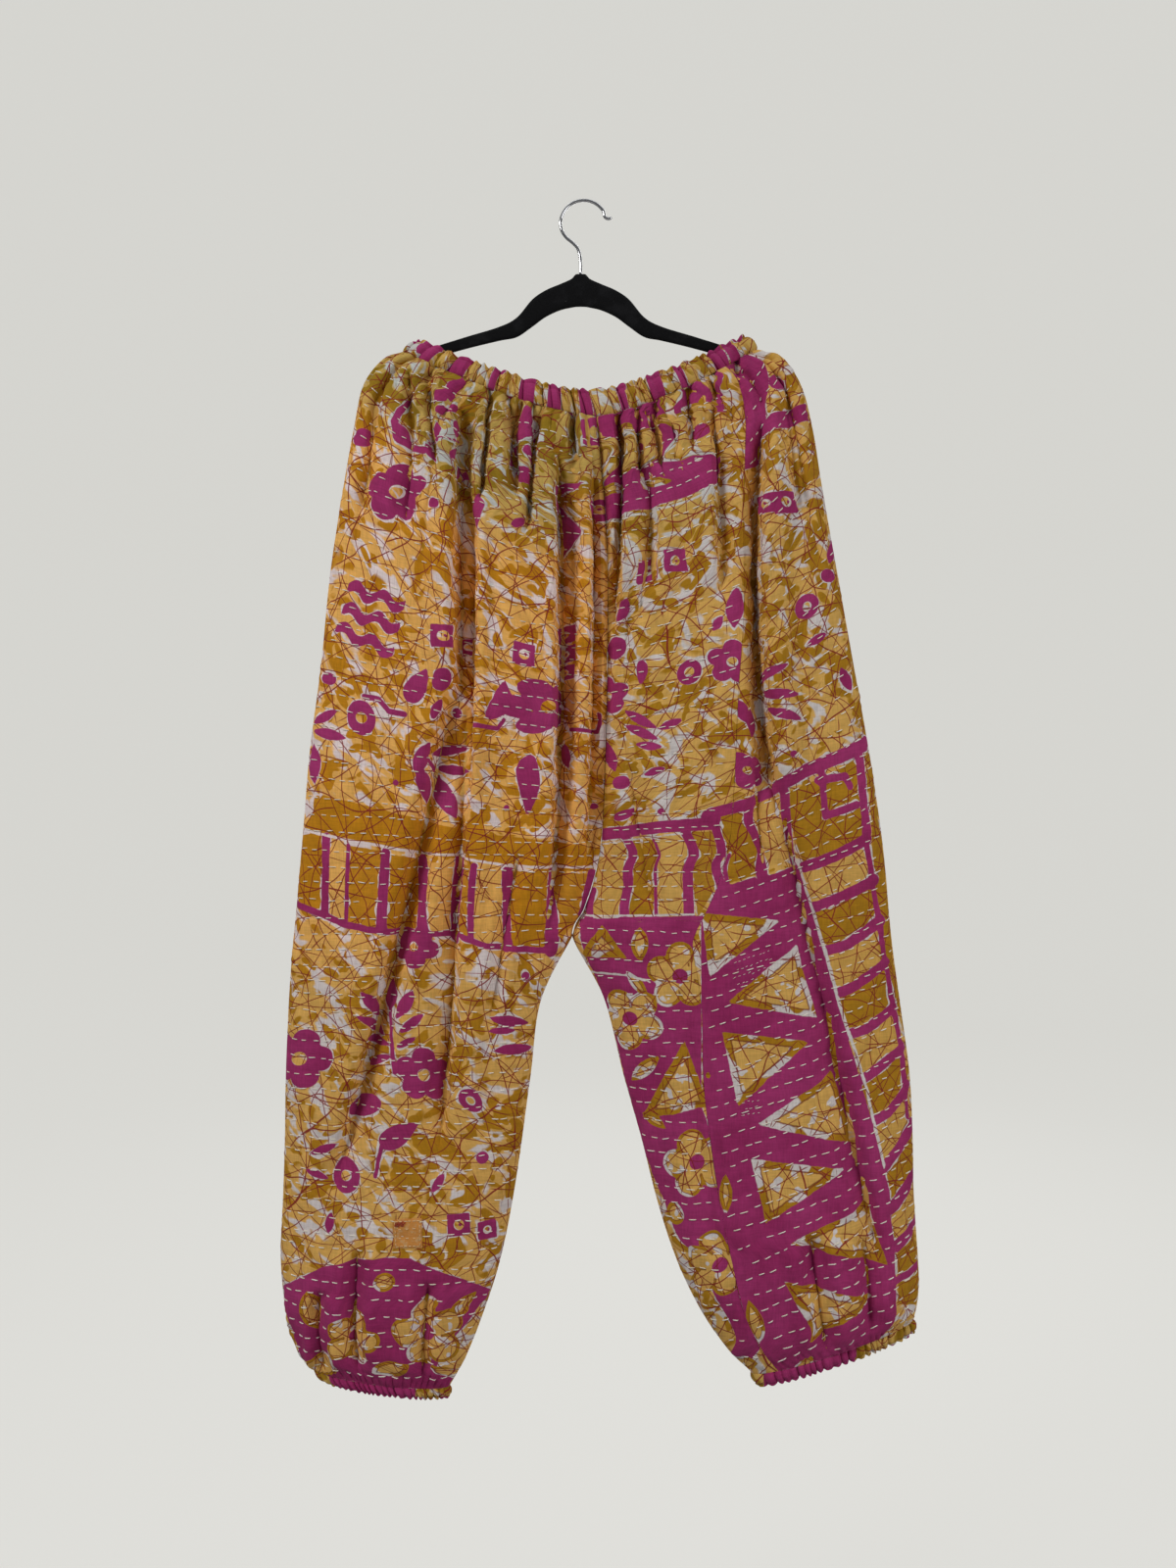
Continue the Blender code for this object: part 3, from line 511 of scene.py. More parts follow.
# Which folds are pleats with one steep wall: 1 where the wall is on the +x side, -1 on the other.
PLEATS = {"right_deep": -1, "right_outer": -1, "right_inner": 1, "right_centre": -1, "left_deep": 1,
          "left_outer": 1, "left_hip": -1, "left_front": 1, "right_leg": -1, "left_leg": 1,
          "right_tuck": -1, "right_ledge": 1, "middle_ledge": -1, "centre_wall": -1, "left_wall": 1,
          "left_ledge": 1, "right_crease": -1, "left_slip": 1, "left_crease": 1}
FOLDS = {"front": {**FRONT_FOLDS, **FINE_FOLDS}, "back": dict(BACK_FOLDS)}
for name, (z_start, z_end, x_start, x_middle, x_end, *sizes) in FINE_FOLDS.items():
    longer = 1.0 + 0.25 * math.sin(x_start * 0.7)
    FOLDS["back"]["back_" + name] = (z_start, z_start + (z_end - z_start) * longer,
                                     4 - x_start, 9 - x_middle, 4 - x_end, *sizes)
PLEAT_STEEPNESS = 0.72           # a pleat's steep side is this much narrower and its easy side wider
FOLD_CORE = 0.60                 # a crease at the bottom of each fold, as a share of the fold's depth
FOLD_CORE_WIDTH = 0.24
FOLD_FADES = (0.16, 0.78)        # shares of a fold's length between which it has its full depth
FOLD_STRENGTH = 1.25             # against the construction's, whose walls are thicker
# Folds that the construction has deeper than the photograph shows them, and the share that is kept.
EASED_FOLDS = {"left_outer": 0.45, "left_knee": 0.6, "right_outer": 0.85, "right_inner": 0.8}
SUNK_AT_MOST = 0.95              # of the reach, so that front and back never meet


def between(values, level):
    """Catmull-Rom curve through one value for each level, read at a level that may lie between two."""
    values = np.asarray(values, float)
    padded = past_both_ends(values)
    start = np.clip(np.floor(level).astype(int), 0, len(values) - 2)
    return catmull_rom(*(padded[start + k] for k in range(4)), np.asarray(level) - start)


def column(name, level):
    """One column of the levels' table, read as a smooth curve at any level."""
    at = LEVEL_COLUMNS.index(name)
    return between([row[at] for row in LEVELS.values()], level)


def inner_edge(side, axis, level):
    """A leg's inner edge. Down to the crotch both legs share one line: the mean of their two curves."""
    shared = (column("right_in_" + axis, level) + column("left_in_" + axis, level)) / 2
    return np.where(level <= CROTCH, shared, column(side + "_in_" + axis, level))


def soft_step(value, start, end):
    """0 at start and 1 at end, with a level tangent at both: t * t * (3 - 2 * t)."""
    t = np.clip((value - start) / (end - start), 0.0, 1.0)
    return t * t * (3 - 2 * t)


def lens(across, parted):
    """Depth of the flattened tube at a share of its width, row by row: 0 at an edge, 1 at the fullest.

    One closed curve over the whole garment is blended with one for a leg alone, as in the construction.
    """
    turn = np.linspace(0.0, math.pi, 721)
    depth = np.empty_like(across)
    for row, share in enumerate(parted):
        wide = (1 - share) * (1 - np.cos(turn / 2)) + share * (1 - np.cos(turn)) / 2
        deep = (1 - share) * np.sin(turn / 2) + share * np.sin(turn)
        depth[row] = np.interp(across[row], wide, deep)
    return depth


def fold_depth(folds, x, z):
    """Sum of the named folds: a trough along a path with a crease at its bottom and a ridge each side.

    A pleat's trough is skewed, so that one of its walls is steep and the other eases out.
    """
    total = np.zeros_like(x)
    for name, row in folds.items():
        fold = dict(zip(FOLD_COLUMNS, row))
        run = (z - fold["z_start"]) / (fold["z_end"] - fold["z_start"])
        path = (fold["x_start"] * (1 - run) * (1 - 2 * run) + fold["x_middle"] * 4 * run * (1 - run)
                + fold["x_end"] * run * (2 * run - 1))
        ends = soft_step(run, 0.0, FOLD_FADES[0]) * (1 - soft_step(run, FOLD_FADES[1], 1.0))
        side = (x - path) / fold["width"]
        steep = PLEATS.get(name, 0) * PLEAT_STEEPNESS
        skewed = side / (1 - steep * np.tanh(2.5 * side))
        trough = fold["depth"] * (np.exp(-skewed**2) + FOLD_CORE * np.exp(-(skewed / FOLD_CORE_WIDTH) ** 2))
        ridge = fold["ridge"] * (np.exp(-((np.abs(side) - 1.75) ** 2) * 1.6)
                                 + 0.8 * np.exp(-((side - np.sign(steep) * 0.95) / 0.5) ** 2) * (steep != 0))
        total += FOLD_STRENGTH * EASED_FOLDS.get(name, 1.0) * ends * (trough - ridge)
    return total


def gather_depth(across, level, face):
    """Gathers that fall from the casing: narrow valleys between round folds, uneven in depth and length.

    The valley's depth over its phase is exp(-(sin / 0.34)^2), less its mean.
    """
    spread = GATHERS_PER_PANEL * (1 - across)
    start = 0.4 if face == "front" else 2.1
    spread = spread + 0.16 * np.sin(5.3 * spread / 2 + start) + 0.05 * level * np.sin(2.1 * spread + start)
    uneven = 0.95 + 0.45 * np.sin(9.1 * across + start)
    reach = 3.6 + 1.8 * np.sin(13.7 * across + (1.9 if face == "front" else 0.3))
    fall = soft_step(level, -0.8, 1.0) * (1 - soft_step(level, 0.3 * reach, 1.6 * reach))
    valley = np.exp(-(np.sin(math.pi * spread) / 0.34) ** 2) - 0.2
    return GATHER_DEPTH * uneven * fall * valley


def tube_edge(outer, inner, reach, across, parted):
    """x, depth and z along one face of a tube, from its outer end to its inner end, both as (x, z)."""
    sag = 1.0 + 0.5 * (1 - parted)
    x = outer[0] + (inner[0] - outer[0]) * across
    z = inner[1] + (outer[1] - inner[1]) * (1 - across) ** sag
    return x, reach * lens(across, parted[:, 0]), z


def tube_at(side, face, across, level):
    """The cloth's form without folds, at a level."""
    outer = column(side + "_out_x", level), column(side + "_out_z", level)
    inner = inner_edge(side, "x", level), inner_edge(side, "z", level)
    parted = np.clip(column("parted", level), 0.0, 1.0)
    return tube_edge(outer, inner, column(face, level), across, parted)


def stand(face, x, depth, z):
    """Points before the middle plane for a front, behind it for a back."""
    return np.stack([x, -depth if face == "front" else depth, z], axis=-1)


def panel_width(side, level):
    """Straight across a leg, from its outer edge to its inner one."""
    return np.abs(inner_edge(side, "x", level) - column(side + "_out_x", level))


def cloth_points(side, face, across, level):
    """Middle of the cloth's wall, in millimetres, for arrays of the share across and the level."""
    x, reach, z = tube_at(side, face, across, level)
    width = panel_width(side, level)
    parted = np.clip(column("parted", level), 0.0, 1.0)
    sink = fold_depth(FOLDS[face], x, z)
    sink += gather_depth(across, level, face)
    sink *= 1 - np.exp(-(across * width / EDGE_FADE) ** 2)
    sink *= 1 - parted**6 * np.exp(-((1 - across) * width / EDGE_FADE) ** 2)
    if side == "left" and face == "front":
        from_piecing = (across - column("piecing", level)) * width
        sink *= 1 - 0.75 * np.exp(-(from_piecing / EDGE_FADE) ** 2)
    sink *= 1 - 0.8 * soft_step(level, HEM - 0.5, HEM)
    room = SUNK_AT_MOST * reach + 1e-6
    sink = np.where(sink > 0, room * np.tanh(sink / room), sink)
    return stand(face, x, reach - sink, z)


# Cloth coordinates, in millimetres on the flat quilt: u across, growing with x, and v down. The side seam
# keeps the grain upright, so u there is its x. Above the hip the cut stays as wide as at the hip, and
# the gathers take up the rest. They carry the print, the stitches and the size of each cut.
HIP = LEVEL_NAMES.index("hip")
MAP_LEVELS = np.linspace(0, HEM, 8 * HEM + 1)
MAP_SHARES = np.linspace(0, 1, 321)


def line_lengths(points):
    """Distance along each row of points, from its first."""
    steps = np.linalg.norm(np.diff(points, axis=1), axis=2)
    return np.concatenate([np.zeros((len(points), 1)), np.cumsum(steps, axis=1)], axis=1)


def cloth_map(side, face):
    """The middle surface on a regular grid of level and share, with its u and v."""
    level, across = np.meshgrid(MAP_LEVELS, MAP_SHARES, indexing="ij")
    points = cloth_points(side, face, across, level)
    along = line_lengths(points)
    cut = np.where(MAP_LEVELS < HIP, np.maximum(along[:, -1], along[MAP_LEVELS == HIP, -1]), along[:, -1])
    seam = np.where(MAP_LEVELS < HIP, column(side + "_out_x", np.float64(HIP)),
                    column(side + "_out_x", MAP_LEVELS))
    inward = 1 if side == "right" else -1
    u = seam[:, None] + inward * along / along[:, -1:] * cut[:, None]
    v = -(column(side + "_out_z", MAP_LEVELS) + inner_edge(side, "z", MAP_LEVELS)) / 2
    return {"points": points, "u": u, "v": v}


CLOTH_MAPS = {(side, face): cloth_map(side, face) for side in ("right", "left") for face in ("front", "back")}


def read_rows(table, level):
    """A table of one row for each map level, read at other levels: straight between the nearest two."""
    place = np.clip(np.asarray(level) / MAP_LEVELS[1], 0, len(MAP_LEVELS) - 1.001)
    low = place.astype(int)
    share = (place - low)[:, None]
    return table[low] * (1 - share) + table[low + 1] * share


WRINKLES = 18
WRINKLE_LENGTHS = (13.0, 62.0)
WRINKLE_HEIGHT = 0.0065          # as a share of its length
WRINKLE_LEAN = 0.55              # spread of their turns from upright, in radians


def crumple(u, v, seed):
    """Small uneven wrinkles: a seeded sum of waves over the flat cloth, mostly upright ones."""
    draw = np.random.default_rng(seed)
    shortest, longest = WRINKLE_LENGTHS
    total = np.zeros_like(u)
    for _ in range(WRINKLES):
        length = shortest * (longest / shortest) ** draw.random()
        turn = draw.normal(0, WRINKLE_LEAN)
        start = draw.random() * 2 * math.pi
        total += length * WRINKLE_HEIGHT * np.sin(
            2 * math.pi * (u * math.cos(turn) + v * math.sin(turn)) / length + start
            + 1.1 * np.sin(v / (length * 1.7) + start))
    return total


# ---------------------------------------------------------------- the cut panels as cloth walls
# Six panels: the right front, the left front pieced from three, and the two backs. Rows of running
# stitch draw the two layers together, so the cloth stands in low puffs between the rows, and each seam
# lies in a shallow groove that puckers a little.
STITCH_ROWS = 15.0               # between rows of running stitch
STITCH_PITCH = 11.7              # from one stitch to the next along a row
SIDE_PANEL_SLANT = math.tan(math.radians(17))     # the left front's side piece is cut off the grain
PUFF = 0.75
FRONT_SPACING = 2.1
BACK_SPACING = 3.0
COARSER = 4                      # the inner face takes every fourth point
SEAM_GROOVE = 1.1
GROOVE_WIDTH = 2.6
PUCKER = 0.35                    # small waves beside a seam: their height, reach and length
PUCKER_WIDTH = 6.5
PUCKER_LENGTH = 8.3
DIMPLE = 0.16                    # between one stitch and the next
DIMPLE_WIDTH = 4.0
WAIST_RIBS = 4.4                 # height of the gathers' fine ribs at the waist and the ankles
ANKLE_RIBS = 2.6
RIM_WIDTH = 2.2
PIECES = {      # side, face, first share, last share, first level, last level, spacing, stitch rows' slant
    "right_front_cloth":      ("right", "front", "outer", "inner", 0, HEM, FRONT_SPACING, 0.0),
    "left_front_side_cloth":  ("left", "front", "outer", "piecing", 0, HEM, FRONT_SPACING, SIDE_PANEL_SLANT),
    "left_front_upper_cloth": ("left", "front", "piecing", "inner", 0, "across", FRONT_SPACING, 0.0),
    "left_front_lower_cloth": ("left", "front", "piecing", "inner", "across", HEM, FRONT_SPACING, 0.0),
    "right_back_cloth":       ("right", "back", "outer", "inner", 0, HEM, BACK_SPACING, 0.0),
    "left_back_cloth":        ("left", "back", "outer", "inner", 0, HEM, BACK_SPACING, 0.0),
}
HALF_SEAM = SEAM_GAP / 2 + 0.03


def share_of_edge(edge, side, level, inward_gap):
    """Where a piece's edge stands across its leg, half a seam short of the neighbour's."""
    if edge == "outer":
        return np.zeros_like(level)
    if edge == "inner":
        return np.ones_like(level)
    return column("piecing", level) + inward_gap / panel_width(side, level)


def levels_down(side, first, last, spacing):
    """Levels whose rows stand about one spacing apart down the leg, a multiple of four steps."""
    fine = np.linspace(first, last, 800)
    down = -(column(side + "_out_z", fine) + inner_edge(side, "z", fine)) / 2
    steps = COARSER * max(1, round((down[-1] - down[0]) / spacing / COARSER))
    return np.interp(np.linspace(down[0], down[-1], steps + 1), down, fine)


def even_grid(side, face, edges, levels, spacing):
    """Cloth middle points of a piece, with its columns evenly spaced along the cloth in every row."""
    shares = np.linspace(0, 1, 481)
    level = np.repeat(levels[:, None], len(shares), axis=1)
    first = share_of_edge(edges[0], side, level, HALF_SEAM)
    last = share_of_edge(edges[1], side, level, -HALF_SEAM)
    across = first + (last - first) * shares
    along = line_lengths(cloth_points(side, face, across, level))
    steps = COARSER * max(2, round(np.median(along[:, -1]) / spacing / COARSER))
    even = np.linspace(0, 1, steps + 1)
    place = np.stack([np.interp(even, row / row[-1], shares) for row in along])
    across = first[:, :1] + (last - first)[:, :1] * place
    level = np.repeat(levels[:, None], steps + 1, axis=1)
    grid = cloth_points(side, face, across, level)
    outward = -1.0 if face == "front" else 1.0
    inward = 1.0 if side == "right" else -1.0
    if edges[0] == "outer":
        grid[:, 0, 1] = outward * SEAM_GAP / 2
    if edges[1] == "inner":
        step = grid[:, -1] - grid[:, -2]
        lean = np.abs(step[:, 1]) / np.hypot(step[:, 0], step[:, 1])
        above = levels <= CROTCH
        clearance = np.where(above, SEAM_GAP / 2 + CLOTH / 2 * lean + 0.5 * column("parted", levels) ** 4, 0)
        grid[:, :, 0] -= inward * clearance[:, None] * place**2
        closed = column("parted", levels) > 0.999
        nearest = SEAM_GAP / 2 + (CLOTH / 2 * (1 - lean) + 0.05) * ~closed
        grid[:, -1, 1] = outward * np.maximum(np.abs(grid[:, -1, 1]) * ~closed, nearest)
    return grid, across, level


def cloth_coordinates(side, face, across, level):
    """u and v of points given by share and level."""
    table = CLOTH_MAPS[side, face]
    rows_u = read_rows(table["u"], level[:, 0])
    u = np.stack([np.interp(row, MAP_SHARES, line) for row, line in zip(across, rows_u)])
    v = np.interp(level, MAP_LEVELS, table["v"])
    return u, v


def normals_of(grid, turned):
    """Unit normals of a grid of points, out of the garment."""
    normal = np.cross(np.gradient(grid, axis=0), np.gradient(grid, axis=1))
    normal /= np.linalg.norm(normal, axis=2, keepdims=True) + 1e-12
    return -normal if turned else normal


def gather_phase(side, face, across, gathers):
    """Phase of the ribs that a casing draws the cloth into: about even, with a slow drift."""
    lean = {"right": 0.4, "left": 2.6}[side] + (0.0 if face == "front" else 1.3)
    return 2 * math.pi * (gathers * across + 0.30 * np.sin(2 * math.pi * 2.3 * across + lean)
                          + 0.16 * np.sin(2 * math.pi * 5.1 * across + 1.7 * lean))


def rounded_ribs(phase):
    """Ribs with round tops and narrow valleys: |cos(phase / 2)|^0.8, less its mean."""
    return np.abs(np.cos(phase / 2)) ** 0.8 - 0.66


def relief(side, face, across, level, u, v, slant):
    """Height in millimetres above the large form: puffs, stitch dimples, gathers, wrinkles and seams."""
    width = panel_width(side, level)
    row = (v + slant * u) / STITCH_ROWS
    from_row = np.abs(row - np.round(row)) * STITCH_ROWS
    puff = PUFF * (np.abs(np.sin(math.pi * row)) ** 0.7 - 0.6)
    odd = np.round(row) * 2.4
    dimple = DIMPLE * np.cos(2 * math.pi * u / STITCH_PITCH + odd) * np.exp(-(from_row / DIMPLE_WIDTH) ** 2)
    phase = gather_phase(side, face, across, WAIST_GATHERS)
    uneven = 1 + 0.4 * np.sin(2.3 * phase / 7 + 1.3) + 0.3 * np.sin(phase * 0.37)
    reach = 1.9 + 0.9 * np.sin(phase * 0.21 + 0.7) + 0.5 * np.sin(phase * 0.53)
    waist = WAIST_RIBS * uneven * (1 - soft_step(level, 0.05, reach)) * rounded_ribs(phase)
    at_hem = gather_phase(side, face, across, CUFF_GATHERS)
    hem_reach = 0.9 + 0.45 * np.sin(at_hem * 0.23)
    ankle = ANKLE_RIBS * soft_step(level, HEM - hem_reach, HEM - 0.05) * rounded_ribs(at_hem)
    seams = [across * width, (1 - across) * width]
    if side == "left" and face == "front":
        seams.append((across - column("piecing", level)) * width)
    pucker = np.zeros_like(u)
    for distance in seams:
        pucker -= SEAM_GROOVE * np.exp(-(distance / GROOVE_WIDTH) ** 2)
        waves = np.cos(2 * math.pi * v / PUCKER_LENGTH + 2 * np.sin(v / 21))
        pucker += PUCKER * np.exp(-(distance / PUCKER_WIDTH) ** 2) * waves
    return puff + dimple + waist + ankle + crumple(u, v, 11 if face == "front" else 12) + pucker


def rim_fade(rows, columns, spacing):
    """0 on the rim of a grid and 1 a few points in, so that neighbours keep their gap."""
    row = np.minimum(np.arange(rows), np.arange(rows)[::-1])[:, None] * spacing
    at = np.minimum(np.arange(columns), np.arange(columns)[::-1])[None, :] * spacing
    return (1 - np.exp(-(row / RIM_WIDTH) ** 2)) * (1 - np.exp(-(at / RIM_WIDTH) ** 2))


def wall_faces(rows, columns, turned):
    """Faces of a closed cloth wall: dense outer quads, every fourth inner one, and rims that join them."""
    dense = np.arange(rows * columns).reshape(rows, columns)
    coarse = dense.size + np.arange(((rows - 1) // COARSER + 1) * ((columns - 1) // COARSER + 1))
    coarse = coarse.reshape((rows - 1) // COARSER + 1, (columns - 1) // COARSER + 1)
    faces = [grid_quads(rows, columns, turned=turned),
             coarse.ravel()[grid_quads(*coarse.shape, turned=not turned)]]
    rims = ((dense[0], coarse[0], False), (dense[-1], coarse[-1], True),
            (dense[:, 0], coarse[:, 0], True), (dense[:, -1], coarse[:, -1], False))
    for outer, inner, backwards in rims:
        fans = np.stack([outer[k:len(outer) - COARSER + k:COARSER] for k in range(COARSER)]
                        + [outer[COARSER::COARSER], inner[1:], inner[:-1]], axis=1)
        faces.append(fans[:, ::-1] if backwards != turned else fans)
    return faces


def cloth_wall(name, grid, u, v, turned, material, thick=CLOTH):
    """A closed cloth object round a grid of middle points, with its cloth coordinates as a UV map."""
    rows, columns = grid.shape[:2]
    normal = normals_of(grid, turned)
    outer = grid + normal * thick / 2
    inner = (grid - normal * thick / 2)[::COARSER, ::COARSER]
    points = np.concatenate([outer.reshape(-1, 3), inner.reshape(-1, 3)])
    made = mesh_object(name, points * MM, wall_faces(rows, columns, turned), material, 50)
    flat = np.concatenate([np.stack([part.ravel() for part in (u, v)], axis=1),
                           np.stack([part[::COARSER, ::COARSER].ravel() for part in (u, v)], axis=1)])
    add_cloth_map(made, flat)
    return made, outer, normal


def add_cloth_map(made, flat):
    """Writes u and v, in metres, as the object's UV map."""
    index = np.empty(len(made.data.loops), np.int32)
    made.data.loops.foreach_get("vertex_index", index)
    layer = made.data.uv_layers.new(name="cloth")
    layer.uv.foreach_set("vector", (flat[index] * MM * (1, -1)).astype(np.float32).ravel())


def flat_cut(u, v):
    """Width, length and area of a piece laid flat, in metres, from its cloth coordinates."""
    cells = np.abs(np.diff(u, axis=1))[:-1] * np.abs(np.diff(v, axis=0))[:, :-1]
    return (u.max() - u.min()) * MM, (v.max() - v.min()) * MM, cells.sum() * MM**2


# ---------------------------------------------------------------- the print
# A wax-resist print of ordinary flowers, leaves, dots, bars and triangles in magenta, on a mottled
# ground of mustard, apricot and off-white that is crossed by a crackle of fine dark red lines.

# Each motif is a signed distance in millimetres on the flat cloth, kept on the points as attributes that
# the material reads. Places are pixels of the photograph's 1200 by 1600 frame, sizes are millimetres.
PICTURE_MIDDLE = (600, 800)
MM_PER_PIXEL = 0.95
FAR = 40.0                       # a field's value where nothing is printed
RUN_ACROSS = (0.9, 2.3)          # least and most millimetres of cloth in a millimetre seen, and its slope
RUN_DOWN = (0.85, 1.25)
RUN_SLOPE = 0.55
AS_CUT = (1.0, 0.0, 0.0, 1.0)    # the run of a shape that is as wide on the cloth as it is given
PRINT_FIELDS = ("print_pink", "print_eye", "print_core", "print_block", "print_tone", "print_resist",
                "print_white", "khaki_tint_and_shade")


def pixels_of(points):
    """Where millimetre points stand in the photograph's frame, seen from the camera."""
    away = (points[..., 1] * MM - CAMERA_AT[1]) / -CAMERA_AT[1] * MM_PER_PIXEL
    return np.stack([PICTURE_MIDDLE[0] + (points[..., 0] - CAMERA_AT[0] / MM) / away,
                     PICTURE_MIDDLE[1] - (points[..., 2] - CAMERA_AT[2] / MM) / away], axis=-1)


FRONT_PIXELS = {side: pixels_of(CLOTH_MAPS[side, "front"]["points"]) for side in ("right", "left")}


@functools.cache
def cloth_place(side, x, y):
    """u and v of the front's cloth at a pixel, and the pixel itself: a soft mean of the points near it."""
    table = CLOTH_MAPS[side, "front"]
    apart = ((FRONT_PIXELS[side] - (x, y)) ** 2).sum(axis=-1)
    weight = np.exp(-(apart - apart.min()) / 5.0)
    seen = (weight[..., None] * FRONT_PIXELS[side]).sum(axis=(0, 1))
    sums = np.array([(table["u"] * weight).sum(), (table["v"][:, None] * weight).sum(), *seen])
    return sums / weight.sum()


def on_cloth(side, places):
    """u and v of several pixels, one row for each."""
    return np.array([cloth_place(side, x, y)[:2] for x, y in places])


@functools.cache
def cloth_run(side, x, y, reach):
    """How u and v grow with the photograph's right and down about a pixel.

    Folds hide some of the cloth, so a shape is wider on the cloth than it is seen, and rows slope.
    """
    right = cloth_place(side, x + reach, y) - cloth_place(side, x - reach, y)
    down = cloth_place(side, x, y + reach) - cloth_place(side, x, y - reach)
    right, down = right[:2] / right[2] / MM_PER_PIXEL, down[:2] / down[3] / MM_PER_PIXEL
    return (np.clip(right[0], *RUN_ACROSS), np.clip(down[0], -RUN_SLOPE, RUN_SLOPE),
            np.clip(right[1], -RUN_SLOPE, RUN_SLOPE), np.clip(down[1], *RUN_DOWN))


def local(u, v, middle, turn, run):
    """Coordinates along and across a direction, turned anticlockwise in degrees from the right."""
    u_right, u_down, v_right, v_down = run
    aside, down = u - middle[0], v - middle[1]
    spread = u_right * v_down - u_down * v_right
    x, y = (aside * v_down - down * u_down) / spread, (aside * v_right - down * u_right) / spread
    c, s = math.cos(math.radians(turn)), math.sin(math.radians(turn))
    return x * c + y * s, y * c - x * s


def disc(a, b, size, ratio):
    """An oval: the distance from its middle, squeezed by the ratio, less its radius."""
    return (np.hypot(a, b / ratio) - size) * min(1.0, ratio)


def flower(a, b, size, ratio):
    """Five round petals: discs about the middle, in the fifth of a turn round the nearest petal."""
    away, turn = np.hypot(a, b), (np.arctan2(b, a) + math.pi / 5) % (2 * math.pi / 5) - math.pi / 5
    petal = np.hypot(away * np.cos(turn) - 0.58 * size, away * np.sin(turn)) - 0.40 * size
    return np.minimum(petal, away - 0.46 * size)


def leaf(a, b, size, ratio):
    """A lens, pointed at both ends. size is half its length."""
    return (np.abs(b) - ratio * size * (1 - (a / size) ** 2)) * 0.85


def drop(a, b, size, ratio):
    """Round at one end and drawn to a point at the other, which its direction points to."""
    t = np.clip((a + size) / (2 * size), 0, 1)
    return np.maximum(np.abs(b) - 2.6 * ratio * size * np.sqrt(t) * (1 - t), np.abs(a) - size)


def square(a, b, size, ratio):
    """size is half its side."""
    return np.maximum(np.abs(a), np.abs(b)) - size


def wave(a, b, size, ratio):
    """A wavy bar."""
    middle = 0.14 * size * np.sin(2.1 * math.pi * a / size)
    return np.maximum(np.abs(b - middle) - ratio * size, np.abs(a) - size)


SHAPES = {"disc": disc, "ring": disc, "flower": flower, "leaf": leaf, "drop": drop, "square": square,
          "wave": wave}
EYES = {"ring": 0.40, "flower": 0.22, "square": 0.46}     # radius of an open eye, as a share of the size


def stroke_distance(u, v, route, half_width):
    """Distance to a line of straight stretches, less half its width."""
    best = np.full(u.shape, 1e9)
    for start, end in zip(route[:-1], route[1:]):
        step = end - start
        run = np.clip(((u - start[0]) * step[0] + (v - start[1]) * step[1]) / (step @ step + 1e-9), 0, 1)
        best = np.minimum(best, np.hypot(u - start[0] - run * step[0], v - start[1] - run * step[1]))
    return best - half_width


def outline_distance(u, v, corners):
    """Signed distance to a closed outline: negative inside, by counting crossings."""
    inside = np.zeros(u.shape, bool)
    for (ax, ay), (bx, by) in zip(corners, np.roll(corners, -1, axis=0)):
        crossing = (ay > v) != (by > v)
        inside ^= crossing & (u < (bx - ax) * (v - ay) / (by - ay + 1e-12) + ax)
    edge = stroke_distance(u, v, np.concatenate([corners, corners[:1]]), 0.0)
    return np.where(inside, -edge, edge)


